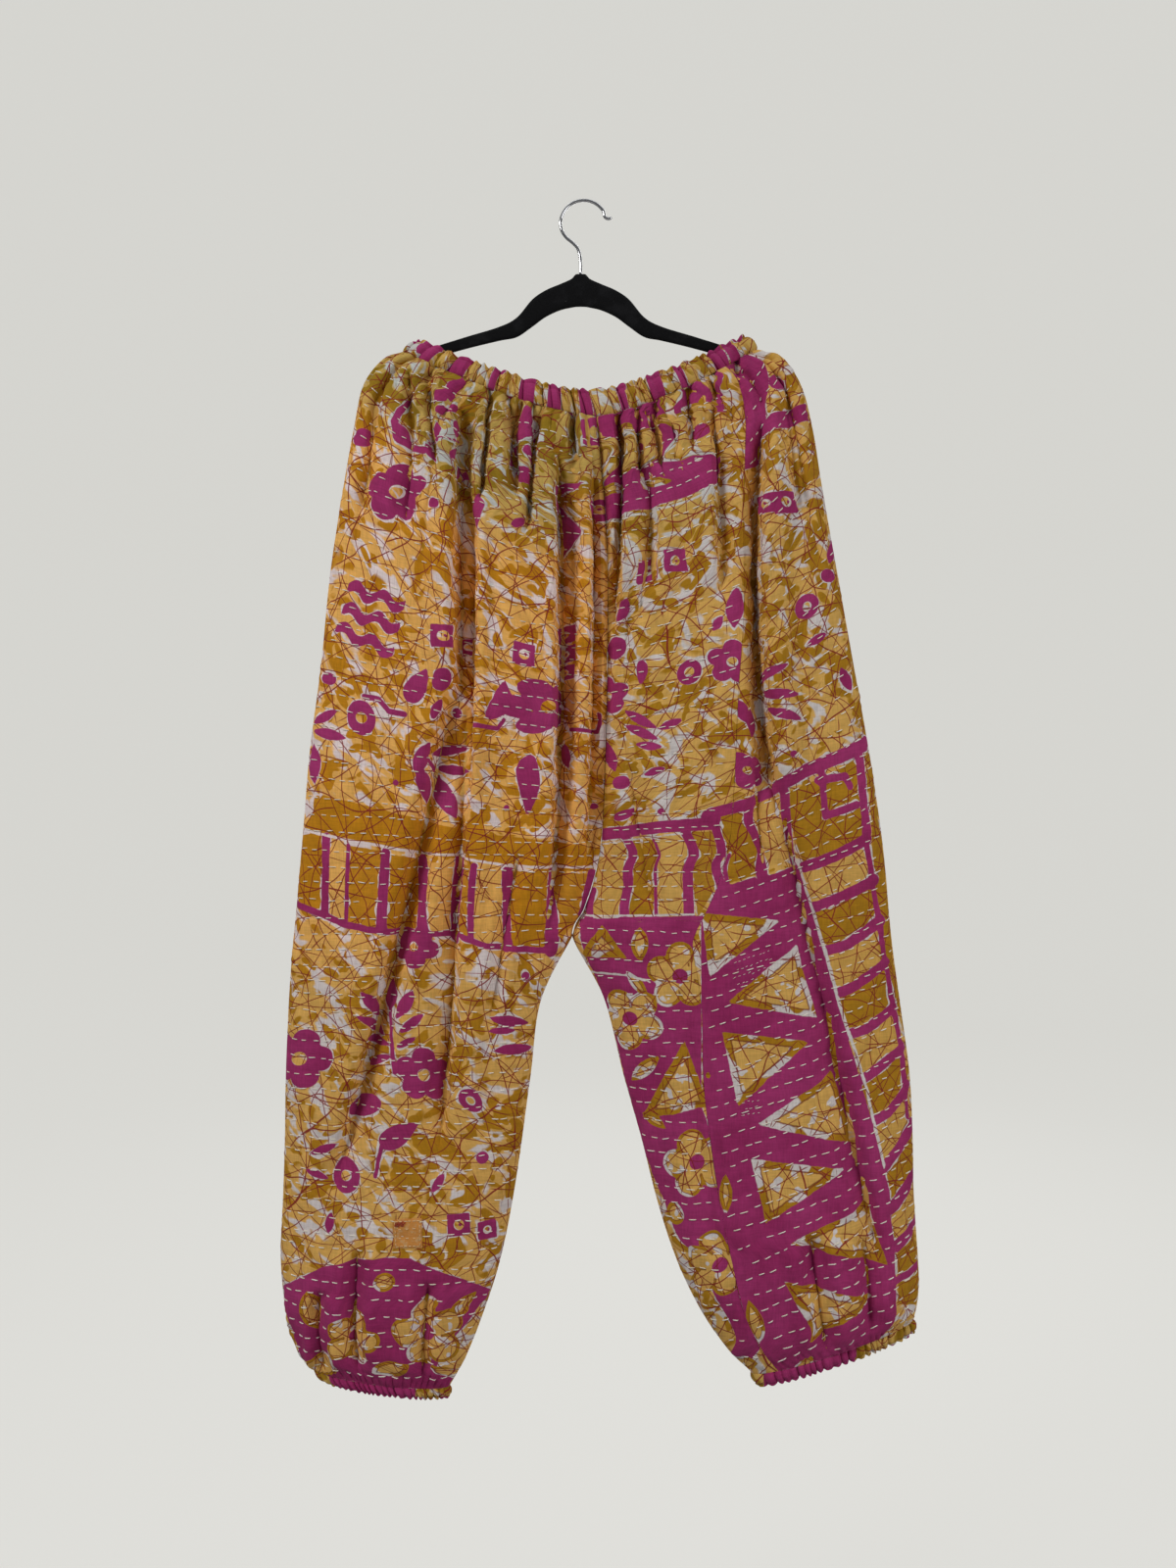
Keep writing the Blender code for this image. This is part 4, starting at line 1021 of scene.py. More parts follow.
# What is printed on the front of the right leg. Each shape's places: pixel x and y, size, ratio, turn.
# The ratio is how wide a shape is for its length. Flowers and squares take none, and have 1.
RIGHT_PINK = {
    "flower": (
        (405, 503, 30, 1, 12), (561, 725, 28, 1, 34), (423, 965, 22, 1, 54),
        (306, 1077, 30, 1, 70), (433, 1098, 27, 1, 20),
    ),
    "disc": (
        (369, 448, 9, 1, 0), (470, 488, 7, 1.2, 0), (443, 512, 5, 1, 0), (529, 534, 6, 0.8, 20),
        (336, 691, 6, 1, 0), (450, 697, 9, 1.2, 0), (467, 726, 5, 1, 0), (404, 802, 3, 1, 0),
        (517, 822, 3, 1, 0), (606, 823, 3, 1, 0), (536, 993, 4, 1, 0), (373, 1125, 16, 0.68, 0),
        (492, 1180, 6, 1, 0),
    ),
    "leaf": (
        (464, 398, 15, 0.5, 95), (450, 403, 11, 0.5, 70), (456, 418, 14, 0.45, 0), (537, 434, 18, 0.42, 92),
        (464, 439, 9, 0.4, 88), (446, 440, 9, 0.4, 92), (409, 445, 13, 0.6, 118), (546, 446, 12, 0.4, 130),
        (441, 463, 9, 0.42, 120), (462, 463, 9, 0.42, 60), (525, 468, 12, 0.3, 75),
        (541, 468, 13, 0.3, 110), (533, 485, 12, 0.5, 120), (574, 500, 13, 0.4, 0),
        (487, 521, 19, 0.32, 94), (577, 533, 36, 0.2, 92), (446, 722, 12, 0.34, 70),
        (332, 732, 12, 0.4, 12), (336, 752, 16, 0.34, -6), (578, 768, 12, 0.4, 95), (455, 769, 18, 0.28, 6),
        (432, 770, 17, 0.36, 70), (320, 783, 20, 0.3, 92), (464, 786, 17, 0.28, 0),
        (433, 803, 18, 0.38, 96), (453, 811, 23, 0.36, 112), (400, 1014, 16, 0.36, 86),
        (381, 1024, 16, 0.36, 124), (413, 1026, 17, 0.34, 62), (520, 1040, 20, 0.26, 170),
        (381, 1046, 15, 0.34, 148), (420, 1046, 15, 0.32, 38), (512, 1054, 14, 0.24, 178),
        (385, 1061, 13, 0.34, 164), (414, 1066, 12, 0.3, 26), (524, 1067, 20, 0.26, 186),
        (388, 1078, 13, 0.34, 186), (330, 1170, 14, 0.3, 20), (324, 1196, 12, 0.3, -20),
        (447, 1205, 12, 0.34, 60), (337, 1248, 11, 0.4, 80),
    ),
    "square": (
        (608, 442, 11, 1, 8), (611, 521, 10, 1, 0), (452, 652, 11, 1, 0), (577, 652, 8, 1, 0),
        (480, 663, 8, 1, 0), (535, 669, 11, 1, -2), (577, 672, 8, 1, 0), (577, 690, 7, 1, 0),
        (468, 1248, 11, 1, 4), (497, 1254, 9, 1, 4),
    ),
    "wave": ((383, 611, 29, 0.19, -17), (378, 632, 29, 0.19, -18), (372, 653, 29, 0.19, -17)),
    "ring": ((369, 733, 14, 1.2, 0), (480, 1125, 11, 1, 0), (354, 1202, 13, 1.35, 0)),
    "drop": (
        (427, 697, 20, 0.52, 62), (514, 713, 21, 0.48, 70), (541, 799, 30, 0.33, 270),
        (408, 1158, 22, 0.5, 30),
    ),
}
# Magenta lines: half width in millimetres, then pixels along the line.
RIGHT_LINES = (
    (2.2, ((422, 404), (408, 420), (402, 431), (406, 446), (416, 455), (434, 458))),
    (1.2, ((437, 452), (468, 452))), (2.6, ((372, 709), (386, 714), (398, 722), (414, 726))),
    (2.2, ((483, 738), (495, 744), (508, 742), (514, 736))),
    (2.2, ((583, 742), (598, 746), (610, 744), (612, 726))), (1.5, ((436, 777), (448, 797))),
    (1.6, ((403, 1092), (401, 1060), (400, 1020))), (1.8, ((390, 1170), (386, 1186), (383, 1202))),
    (3.8, ((333, 852), (332, 930))), (1.9, ((356, 863), (353, 941))), (4.6, ((394, 869), (389, 948))),
    (4.3, ((432, 878), (432, 951))), (4.7, ((470, 878), (467, 953))), (2.6, ((484, 884), (481, 958))),
    (4.7, ((518, 890), (518, 966))), (5.4, ((562, 889), (562, 970))), (4.0, ((606, 891), (598, 934))),
    (2.9, ((303, 922), (332, 934), (353, 944), (396, 951), (472, 954), (496, 964), (556, 972))),
    (3.6, ((300, 1312), (330, 1298), (362, 1286), (392, 1285), (415, 1290), (448, 1303), (498, 1320))),
)
# Flat blocks of dye: tone (0 mustard, 1 apricot) and the corners' pixels.
RIGHT_BLOCKS = (
    (0.0, ((311, 846), (392, 866), (470, 876), (606, 890), (606, 862), (470, 846), (330, 812))),
    (0.0, ((303, 850), (333, 850), (332, 932), (301, 926))),
    (1.0, ((333, 858), (356, 860), (353, 940), (332, 934))),
    (0.05, ((356, 864), (394, 868), (389, 948), (353, 942))),
    (0.0, ((394, 872), (432, 878), (432, 951), (389, 950))),
    (0.95, ((432, 879), (470, 879), (467, 953), (432, 951))),
    (0.1, ((470, 880), (484, 884), (481, 958), (467, 953))),
    (0.9, ((484, 885), (518, 889), (518, 966), (481, 958))),
    (0.0, ((518, 890), (562, 889), (562, 970), (518, 966))),
    (0.1, ((562, 889), (614, 893), (598, 940), (562, 971))),
)
# Stretches of magenta ground: their corners' pixels.
RIGHT_PINK_GROUNDS = (
    ((284, 1312), (330, 1298), (362, 1286), (392, 1285), (415, 1290), (448, 1303), (506, 1322), (484, 1442),
     (284, 1430)),
)
# Shapes left clear of the magenta, in the same columns, then how wide their rim is.
RIGHT_RESISTS = {
    "flower": ((436, 1358, 36, 1, 30, 3.0), (362, 1362, 27, 1, 0, 2.6)),
    "disc": ((392, 1309, 11, 0.8, 20, 2.4), (330, 1390, 14, 0.8, 0, 2.4), (462, 1400, 12, 0.8, 0, 2.4)),
    "leaf": ((470, 1330, 16, 0.4, 60, 2.4), (318, 1336, 20, 0.42, 100, 2.4), (398, 1396, 22, 0.3, 10, 2.4)),
}
# White lines: half width in millimetres, then pixels along the line.
RIGHT_WHITES = (
    (1.3, ((305, 844), (350, 858), (392, 862), (430, 871), (470, 873), (520, 884), (606, 885))),
)

# The left leg's front, in the same columns.
LEFT_PINK = {
    "square": (
        (801, 509, 11, 1, 8), (782, 516, 9, 1, 8), (689, 574, 11, 1, 4), (660, 583, 11, 1, 2),
    ),
    "ring": ((823, 619, 12, 1, 0), (703, 685, 12, 1, 0)),
    "drop": ((655, 690, 13, 0.42, 260), (640, 832, 14, 0.34, 20)),
    "leaf": (
        (850, 560, 13, 0.36, 70), (634, 620, 12, 0.4, 80), (751, 624, 20, 0.34, 88),
        (733, 640, 10, 0.4, 60), (834, 655, 11, 0.4, 20), (782, 689, 16, 0.34, 24),
        (862, 690, 13, 0.36, 110), (792, 706, 17, 0.3, 6), (757, 724, 14, 0.34, 110),
        (799, 724, 17, 0.3, -8), (652, 731, 17, 0.3, 158), (766, 740, 14, 0.34, 96),
        (684, 742, 14, 0.3, 24), (654, 748, 17, 0.3, 168), (662, 764, 14, 0.3, 176),
        (622, 770, 16, 0.4, 110), (668, 784, 12, 0.32, 200),
    ),
    "flower": ((747, 674, 22, 1, 14), (619, 712, 20, 1, 20), (763, 789, 19, 1, 40)),
    "disc": (
        (794, 391, 8, 1, 0), (714, 440, 8, 1, 0), (846, 592, 6, 1, 0), (628, 660, 9, 1.2, 0),
        (809, 768, 3.4, 1, 0), (634, 800, 8, 0.8, 0), (674, 828, 3.4, 1, 0),
    ),
}
LEFT_LINES = (
    (6.4, ((600, 851), (619, 849), (672, 846), (722, 841))),
    (6.2, ((722, 829), (760, 818), (820, 790), (884, 758))), (4.6, ((640, 856), (637, 936))),
    (4.0, ((604, 910), (600, 942))), (1.5, ((667, 858), (670, 938))), (5.2, ((700, 852), (703, 936))),
    (4.4, ((731, 836), (731, 880), (737, 907))), (4.4, ((766, 822), (769, 850), (777, 890))),
    (4.4, ((800, 808), (803, 838), (809, 878))), (2.6, ((592, 940), (654, 938), (716, 937))),
    (3.4, ((838, 790), (842, 832), (874, 822))), (3.4, ((834, 800), (862, 788), (868, 806))),
    (3.6, ((876, 764), (879, 800), (884, 850))),
    (2.2, ((882, 850), (890, 900), (900, 966), (911, 1025), (919, 1075), (926, 1140))),
    (5.3, ((820, 884), (850, 873), (884, 857))), (5.0, ((830, 926), (858, 916), (892, 897))),
    (5.0, ((840, 972), (866, 962), (897, 939))), (5.0, ((850, 1013), (874, 1003), (903, 980))),
    (4.8, ((860, 1057), (884, 1046), (911, 1028))), (4.8, ((876, 1101), (894, 1092), (919, 1068))),
    (4.6, ((890, 1145), (906, 1134), (927, 1108))), (4.4, ((902, 1190), (916, 1172), (931, 1146))),
    (4.2, ((910, 1232), (922, 1216), (934, 1196))), (4.0, ((914, 1270), (934, 1246))),
    (4.0, ((916, 1306), (934, 1290))), (2.0, ((744, 872), (740, 884), (743, 905), (770, 897))),
)
LEFT_BLOCKS = (
    (0.8, ((604, 858), (640, 857), (637, 936), (600, 936))),
    (0.0, ((640, 856), (667, 856), (670, 938), (637, 936))),
    (1.0, ((667, 856), (700, 855), (703, 936), (670, 938))),
    (0.1, ((703, 852), (731, 846), (733, 900), (712, 936))),
    (0.0, ((731, 834), (766, 824), (777, 890), (737, 904))),
    (0.9, ((766, 822), (800, 810), (809, 876), (777, 890))),
    (0.0, ((800, 808), (842, 790), (880, 770), (884, 855), (820, 880))),
    (0.95, ((820, 886), (884, 860), (892, 897), (829, 926))),
    (0.0, ((829, 926), (892, 897), (897, 939), (839, 972))),
    (0.8, ((839, 972), (897, 939), (903, 980), (849, 1013))),
    (0.0, ((849, 1013), (903, 980), (911, 1028), (860, 1057))),
    (0.75, ((860, 1057), (911, 1028), (919, 1068), (876, 1101))),
    (0.0, ((876, 1101), (919, 1068), (927, 1108), (890, 1145))),
    (0.8, ((890, 1145), (927, 1108), (931, 1146), (902, 1190))),
    (0.0, ((902, 1190), (931, 1146), (934, 1196), (910, 1232))),
    (0.7, ((910, 1232), (934, 1196), (934, 1246), (914, 1270))),
    (0.0, ((914, 1270), (934, 1246), (934, 1330), (916, 1330))),
    (0.0, ((884, 770), (898, 800), (916, 960), (928, 1040), (905, 1010), (890, 900))),
)
LEFT_PINK_GROUNDS = (
    ((598, 402), (600, 532), (637, 524), (698, 507), (729, 497), (735, 480), (722, 356), (700, 372),
     (640, 396)),
    ((714, 350), (728, 498), (738, 493), (774, 473), (777, 446), (828, 428), (824, 414), (782, 426),
     (758, 352)),
    ((716, 912), (770, 898), (814, 882), (838, 960), (866, 1060), (888, 1140), (906, 1210), (914, 1340),
     (900, 1372), (820, 1412), (770, 1412), (726, 1340), (700, 1240), (690, 1140), (716, 1060)),
    ((590, 941), (716, 938), (716, 1130), (736, 1190), (740, 1242), (756, 1420), (700, 1420), (640, 1180),
     (600, 1040)),
)
LEFT_RESISTS = {
    "flower": (
        (714, 440, 31, 1, 10, 2.6), (652, 458, 24, 1, 40, 2.6), (694, 993, 34, 1, 18, 3.0),
        (643, 1040, 31, 1, 50, 3.0), (711, 1183, 34, 1, 34, 3.0), (735, 1290, 34, 1, 20, 3.0),
    ),
    "leaf": (
        (752, 428, 20, 0.36, 70, 2.4), (610, 470, 18, 0.4, 60, 2.4), (668, 492, 17, 0.3, 8, 2.4),
        (622, 500, 15, 0.36, 10, 2.4), (653, 962, 17, 0.5, 92, 3.0), (650, 1006, 16, 0.32, 130, 2.4),
        (658, 1093, 18, 0.4, 40, 3.0), (668, 1142, 13, 0.4, 150, 2.4), (741, 1216, 20, 0.32, 90, 3.0),
        (722, 1350, 17, 0.4, 60, 2.6), (771, 1350, 24, 0.34, 100, 3.0), (756, 1392, 16, 0.4, 20, 2.6),
    ),
    "disc": (
        (724, 388, 11, 0.8, 30, 2.4), (684, 404, 12, 0.8, 0, 2.4), (742, 476, 9, 0.8, 20, 2.4),
        (690, 1236, 11, 0.7, 110, 2.6), (822, 1400, 9, 0.8, 0, 2.4),
    ),
}
# Triangles left clear of the magenta: three corners' pixels. Each has a rim as wide as TRIANGLE_RIM.
LEFT_TRIANGLES = (
    ((716, 931), (796, 939), (724, 1000)), ((812, 963), (742, 1024), (832, 1036)),
    ((737, 1057), (826, 1065), (753, 1130)), ((848, 1091), (772, 1150), (870, 1164)),
    ((766, 1183), (862, 1194), (781, 1251)), ((886, 1221), (806, 1272), (906, 1292)),
    ((800, 1306), (892, 1322), (824, 1372)), ((614, 944), (594, 976), (640, 980)),
    ((698, 1062), (656, 1138), (724, 1130)),
)
TRIANGLE_RIM = 6.5
LEVEL_SEAM_Y = 938               # pixels down, of the seam across the left leg
LEFT_WHITES = (
    (1.5, ((815, 880), (829, 926), (842, 972), (856, 1020), (866, 1057), (884, 1110), (902, 1190))),
    (1.2, ((596, 934), (650, 934), (708, 933))), (1.0, ((604, 860), (632, 858), (696, 852))),
    (1.2, ((610, 532), (640, 528), (700, 511), (740, 497))), (1.1, ((598, 993), (640, 996), (664, 1000))),
)


def empty_print(shape):
    """Every field with nothing printed."""
    fields = {name: np.full(shape, FAR) for name in PRINT_FIELDS}
    fields["print_tone"] = np.zeros(shape)
    fields["khaki_tint_and_shade"] = np.zeros(shape)
    return fields


def add(fields, name, distance):
    """Joins a shape to a field: the nearer of the two at each point."""
    fields[name] = np.minimum(fields[name], distance)


def add_motif(fields, name, u, v, shape, middle, size, ratio, turn, unit=1.0, run=AS_CUT):
    """A motif, with its eye: open in a magenta one, magenta in one kept clear. A square's has a pupil.

    unit is the width of the rim round a motif kept clear, which the material draws at a distance of one.
    """
    a, b = local(u, v, middle, turn, run)
    add(fields, name, SHAPES[shape](a, b, size, ratio) / unit)
    if shape in EYES:
        add(fields, "print_eye" if unit == 1.0 else "print_core", np.hypot(a, b) - EYES[shape] * size)
    if shape == "square":
        add(fields, "print_core", np.hypot(a - 0.12 * size, b) - 0.16 * size)


def add_block(fields, u, v, tone, corners):
    """A flat patch of one dye. Its tone is kept on the points inside and just round it."""
    distance = outline_distance(u, v, corners)
    fields["print_tone"] = np.where(distance < 1.5, tone, fields["print_tone"])
    add(fields, "print_block", distance)


def seam_pixels():
    """Where the seam beside the left front's side piece stands in the photograph's frame."""
    shares = np.round(column("piecing", MAP_LEVELS) * (len(MAP_SHARES) - 1)).astype(int)
    return FRONT_PIXELS["left"][np.arange(len(MAP_LEVELS)), shares].T


def on_piece(name, places):
    """Whether a shape is printed on this piece: the pieced left front's prints end at its seams."""
    if not name.startswith("left_front"):
        return True
    x, y = np.mean(places, axis=0)
    seam_x, seam_y = seam_pixels()
    if x > np.interp(y, seam_y, seam_x):
        return "side" in name
    return ("upper" if y < LEVEL_SEAM_Y else "lower") in name


FRONT_TABLES = {
    "right": (RIGHT_PINK, RIGHT_LINES, RIGHT_BLOCKS, RIGHT_PINK_GROUNDS, RIGHT_RESISTS, (), RIGHT_WHITES),
    "left": (LEFT_PINK, LEFT_LINES, LEFT_BLOCKS, LEFT_PINK_GROUNDS, LEFT_RESISTS, LEFT_TRIANGLES,
             LEFT_WHITES),
}


def front_print(name, side, u, v):
    """Every motif of one front piece, laid where the photograph shows it."""
    fields = empty_print(u.shape)
    pinks, lines, blocks, grounds, resists, triangles, whites = FRONT_TABLES[side]
    motifs = [("print_pink", 1.0, shape, *place) for shape, places in pinks.items() for place in places]
    for shape, places in resists.items():
        motifs += [("print_resist", rim, shape, *place) for *place, rim in places]
    for field, unit, shape, x, y, size, ratio, turn in motifs:
        if on_piece(name, [(x, y)]):
            run = cloth_run(side, x, y, max(9.0, 0.8 * size))
            add_motif(fields, field, u, v, shape, cloth_place(side, x, y), size, ratio, turn, unit, run)
    for field, strokes in (("print_pink", lines), ("print_white", whites)):
        for half_width, route in strokes:
            (x, y), (end_x, end_y) = route[0], route[-1]
            run = cloth_run(side, (x + end_x) / 2, (y + end_y) / 2, 9.0)
            wide = half_width * (run[0] if abs(end_y - y) > abs(end_x - x) else 1.0)
            add(fields, field, stroke_distance(u, v, on_cloth(side, route), wide))
    for tone, corners in blocks:
        add_block(fields, u, v, tone, on_cloth(side, corners))
    for corners in grounds:
        if on_piece(name, corners):
            add(fields, "print_pink", outline_distance(u, v, on_cloth(side, corners)))
    for corners in triangles:
        if on_piece(name, corners):
            distance = outline_distance(u, v, on_cloth(side, corners))
            add(fields, "print_resist", distance / TRIANGLE_RIM)
    return fields


BACK_CYCLE = (
    ("flower", 26, 1.0), ("leaf", 20, 0.32), ("ring", 12, 1.0), ("drop", 22, 0.48), ("disc", 7, 1.0),
    ("square", 11, 1.0), ("leaf", 16, 0.34), ("wave", 26, 0.17), ("flower", 20, 1.0), ("disc", 4, 1.0),
)
BACK_SPREAD = 60.0               # from one motif to the next in a row
BACK_BAND = {"right": (612, 702), "left": (600, 690)}     # top and end of the bars, down the cloth
BACK_LOW_BAND = {"right": 1045, "left": 1010}             # top of the magenta hem
HEM_FLOWERS_APART = 62
HEM_FLOWERS_DOWN = 42            # from the hem's top


def back_print(side, u, v):
    """The unseen backs: the same kinds of motif in uneven rows, a band of bars and a flowered hem."""
    draw = np.random.default_rng(31 if side == "right" else 32)
    fields = empty_print(u.shape)
    band_top, band_end = BACK_BAND[side]
    low = BACK_LOW_BAND[side]
    count = 0
    for row, down in enumerate(np.arange(v.min() + 30, low - 16, BACK_SPREAD * 0.8)):
        for across in np.arange(u.min() - 20 + (row % 2) * BACK_SPREAD / 2, u.max() + 20, BACK_SPREAD):
            shape, size, ratio = BACK_CYCLE[(count * 7 + row * 3) % len(BACK_CYCLE)]
            count += 1
            middle = np.array([across, down]) + draw.normal(0, 9, 2)
            turn = draw.uniform(0, 360) if shape != "square" else draw.normal(0, 6)
            if not band_top - size < middle[1] < band_end + size:
                grown = size * draw.uniform(0.85, 1.15)
                add_motif(fields, "print_pink", u, v, shape, middle, grown, ratio, turn)
            if shape == "leaf" and not band_top - 60 < middle[1] < band_end + 40:
                for step, side_turn in enumerate((55, -55, 125, -125)):
                    aside = middle + 15 * np.array([math.cos(step * 1.6), math.sin(step * 1.6)])
                    leaf_turn = turn + side_turn
                    add_motif(fields, "print_pink", u, v, "leaf", aside, size * 0.75, ratio, leaf_turn)
    edge = u.min() - 30
    while edge < u.max() + 30:
        wide = draw.uniform(26, 42)
        corners = np.array([(edge, band_top), (edge + wide, band_top), (edge + wide, band_end),
                            (edge, band_end)])
        add_block(fields, u, v, draw.choice((0.0, 0.05, 0.95)), corners)
        upright = np.array([(edge, band_top), (edge + draw.normal(0, 2), band_end)])
        add(fields, "print_pink", stroke_distance(u, v, upright, draw.uniform(2.2, 5.2)))
        add(fields, "print_white", stroke_distance(u, v, upright + (6.4, 0), 1.1))
        edge += wide
    rail = np.array([(u.min() - 9, band_end), (u.mean(), band_end + 5), (u.max() + 9, band_end)])
    add(fields, "print_pink", stroke_distance(u, v, rail, 3.2))
    add(fields, "print_white", stroke_distance(u, v, rail * (1, 0) + (0, band_top - 2), 1.2))
    add(fields, "print_pink", low - v + 4 * np.sin(u / 31))
    for across in np.arange(u.min(), u.max() + 20, HEM_FLOWERS_APART):
        middle = np.array([across + draw.normal(0, 5), low + HEM_FLOWERS_DOWN + draw.normal(0, 5)])
        add_motif(fields, "print_resist", u, v, "flower", middle, 30, 1.0, draw.uniform(0, 72), 3.0)
        turn = draw.uniform(0, 180)
        add_motif(fields, "print_resist", u, v, "leaf", middle + (31, -14), 15, 0.4, turn, 2.6)
    return fields


def khaki_and_waist_shade(side, u, v):
    """Share of the khaki colours. Below the waist it is painted shade and colour cast, where the gathers
    shade the cloth; a little over the left leg it is the dyes' own khaki tint.
    """
    edge = 235 + 60 * soft_step(np.abs(u), 200, 60)
    # Painted shade: the ground's colours turn darker and greyer just below the casing.
    waist_shade = 1 - soft_step(v, edge - 30, edge + 45)
    if side == "left":
        return 0.50 + 0.30 * waist_shade * (1 - soft_step(u, 40, 110))
    return waist_shade + 0.38 * (1 - waist_shade) * soft_step(v, 690, 770)


def write_field(made, name, values):
    """Keeps one print field on the object's points."""
    layer = made.data.attributes.new(name, "FLOAT", "POINT")
    layer.data.foreach_set("value", values.ravel().astype(np.float32))


def write_panel_fields(made, fields):
    """The outer face's points carry the print. The inner face's, every fourth one, stay plain."""
    for name, values in fields.items():
        inner = values[::COARSER, ::COARSER].size
        plain = {"print_tone": 0.0, "khaki_tint_and_shade": 0.5}.get(name, FAR)
        write_field(made, name, np.concatenate([values.ravel(), np.full(inner, plain)]))


# Sets of crackle lines: degrees from the cloth's grain, and millimetres from one line to the next.
CRACKLE = ((12, 27.0), (36, 31.0), (58, 35.0), (84, 27.0), (115, 24.0), (138, 33.0), (160, 29.0))


def cotton_finish():
    """The printed quilt: ground, blocks, magenta, shapes left clear of it, white lines, then crackle.

    The ground is apricot with off-white smears. On it lie mustard dabs, which are the middles of stretched
    Voronoi cells that slant one way or the other by zones, and broader mustard patches. The crackle is
    seven sets of parallel lines, each bent by slow noise and broken up by another. The motifs' edges are
    shifted by fine noise, so that they run as wax does.
    """
    finish = Finish("printed_cotton", Roughness=0.9, Sheen_Weight=0.04, Sheen_Roughness=0.5,
                    Specular_IOR_Level=0.15)
    start = finish.start
    cloth = finish.cloth_millimetres()

    def field(name):
        return start.node("ShaderNodeAttribute", {"attribute_name": name}, output=2)

    ragged = (cloth.noise(5.0, 2.0) - 0.5) * 2.6
    # The khaki field darkens and greys the ground's colours: painted shade and colour cast below the waist,
    # the dyes' own tint elsewhere.
    khaki = field("khaki_tint_and_shade")
    apricot = khaki.mix((0.94, 0.50, 0.125), (0.60, 0.40, 0.10))
    mustard = khaki.mix((0.61, 0.255, 0.009), (0.34, 0.205, 0.014))
    white = khaki.mix((0.92, 0.77, 0.75), (0.62, 0.64, 0.60))
    magenta, crimson = (0.355, 0.026, 0.130), (0.20, 0.03, 0.015)

    drift = cloth.node("ShaderNodeTexNoise", {}, {"Vector": cloth, "Scale": 1 / 52, "Detail": 1.0}, 1)
    bent = cloth.moved(drift.scaled((34.0, 34.0, 0.0)))

    def turned_frame(angle, squeeze, shift):
        turned = bent.node("ShaderNodeVectorRotate", {"rotation_type": "Z_AXIS"},
                           {"Vector": bent, "Angle": angle})
        return turned.scaled((squeeze, 1.0, 1.0)).moved((shift, 0, 0))

    def dabs(angle, shift):
        place = turned_frame(angle, 0.42, shift)
        cells = place.node("ShaderNodeTexVoronoi", {"feature": "F1"},
                           {"Vector": place, "Scale": 1 / 11.5, "Randomness": 0.9})
        return cells.over(0.44, 0.39)

    zone = cloth.noise(44.0, 1.0, 61.0).over(0.48, 0.52)
    strokes = zone * dabs(0.75, 0.0) + (1.0 - zone) * dabs(-0.45, 90.0)
    strokes = strokes * bent.noise(30.0, 1.0, 33.0).over(0.40, 0.47)
    broad = bent.noise(27.0, 2.0, 71.0).over(0.585, 0.60)
    smears = turned_frame(0.6, 0.45, 40.0).noise(15.0, 2.0)
    ground = smears.over(0.53, 0.59).mix(apricot, white)
    ground = start.math("MAXIMUM", strokes, broad).mix(ground, mustard)

    block = field("print_block") + ragged * 0.4
    ground = block.over(0.3, -0.3).mix(ground, field("print_tone").mix(mustard, apricot))
    resist = field("print_resist") + ragged * 0.12
    slivers = cloth.noise(11.0, 1.0, 21.0)
    edging = cloth.noise(25.0, 0.6, 27.0).over(0.41, 0.44).mix(white, mustard)
    clear = resist.over(-0.95, -1.05).mix(edging, slivers.over(0.60, 0.63).mix(apricot, white))
    clear = (resist.distance_from(-1.0).over(0.16, 0.07) * 0.75).mix(clear, crimson)
    eye = field("print_eye") + ragged * 0.25
    pink = start.math("MAXIMUM", field("print_pink") + ragged * 0.45, 0.0 - eye)
    rim_width = (cloth.noise(15.0, 1.0, 12.0) - block.over(0.3, -0.3) * 0.05 - 0.46) * 11.0
    rim = (pink - rim_width).over(0.2, -0.2).mix(ground, white)
    faded = cloth.noise(60.0, 3.0, 40.0)
    dye = faded.over(0.3, 0.7).mix(magenta, (0.42, 0.040, 0.170))
    colour = pink.over(0.25, -0.25).mix(rim, dye)
    colour = resist.over(0.06, -0.06).mix(colour, clear)
    colour = (field("print_white") + ragged * 0.5).over(0.25, -0.25).mix(colour, white)
    colour = (field("print_core") + ragged * 0.2).over(0.25, -0.25).mix(colour, dye)

    lines = 0.0
    for seed, (angle, spacing) in enumerate(CRACKLE):
        way = (math.cos(math.radians(angle)), math.sin(math.radians(angle)), 0.0)
        across = cloth.node("ShaderNodeVectorMath", {"operation": "DOT_PRODUCT"}, {0: cloth, 1: way}, 1)
        across = (cloth.noise(86.0, 1.0, 50.0 + 31 * seed) - 0.5) * 46.0 + across
        off = (across * (1 / spacing)).fraction().distance_from(0.5) * spacing
        lines = off.over(0.60, 0.30) * cloth.noise(48.0, 1.0, 90.0 + 17 * seed).over(0.37, 0.45) + lines
    clear_of_pink = start.math("MINIMUM", pink.over(-0.4, 0.6) + resist.over(0.0, -0.4), 1.0)
    lines = start.math("MINIMUM", lines * clear_of_pink, 1.0)
    colour = (lines * 0.95).mix(colour, (0.27, 0.020, 0.020))

    slub = (cloth.scaled((1.0, 0.12, 1.0)).noise(1.5, 1.0, 7.0)
            + cloth.scaled((0.12, 1.0, 1.0)).noise(1.5, 1.0, 8.0))
    colour = ((slub - 1.0) * 1.4 + (faded - 0.5) * 0.5 + 0.5).mix(
        colour.scaled((0.86, 0.85, 0.84)), colour.scaled((1.12, 1.12, 1.12)))
    finish.feed("Base Color", colour)
    wrinkles = cloth.scaled((1.0, 0.45, 1.0)).noise(4.6, 2.0, 15.0)
    finish.bump(slub * 0.10 + wrinkles * 0.42, 0.001)
    return finish.material


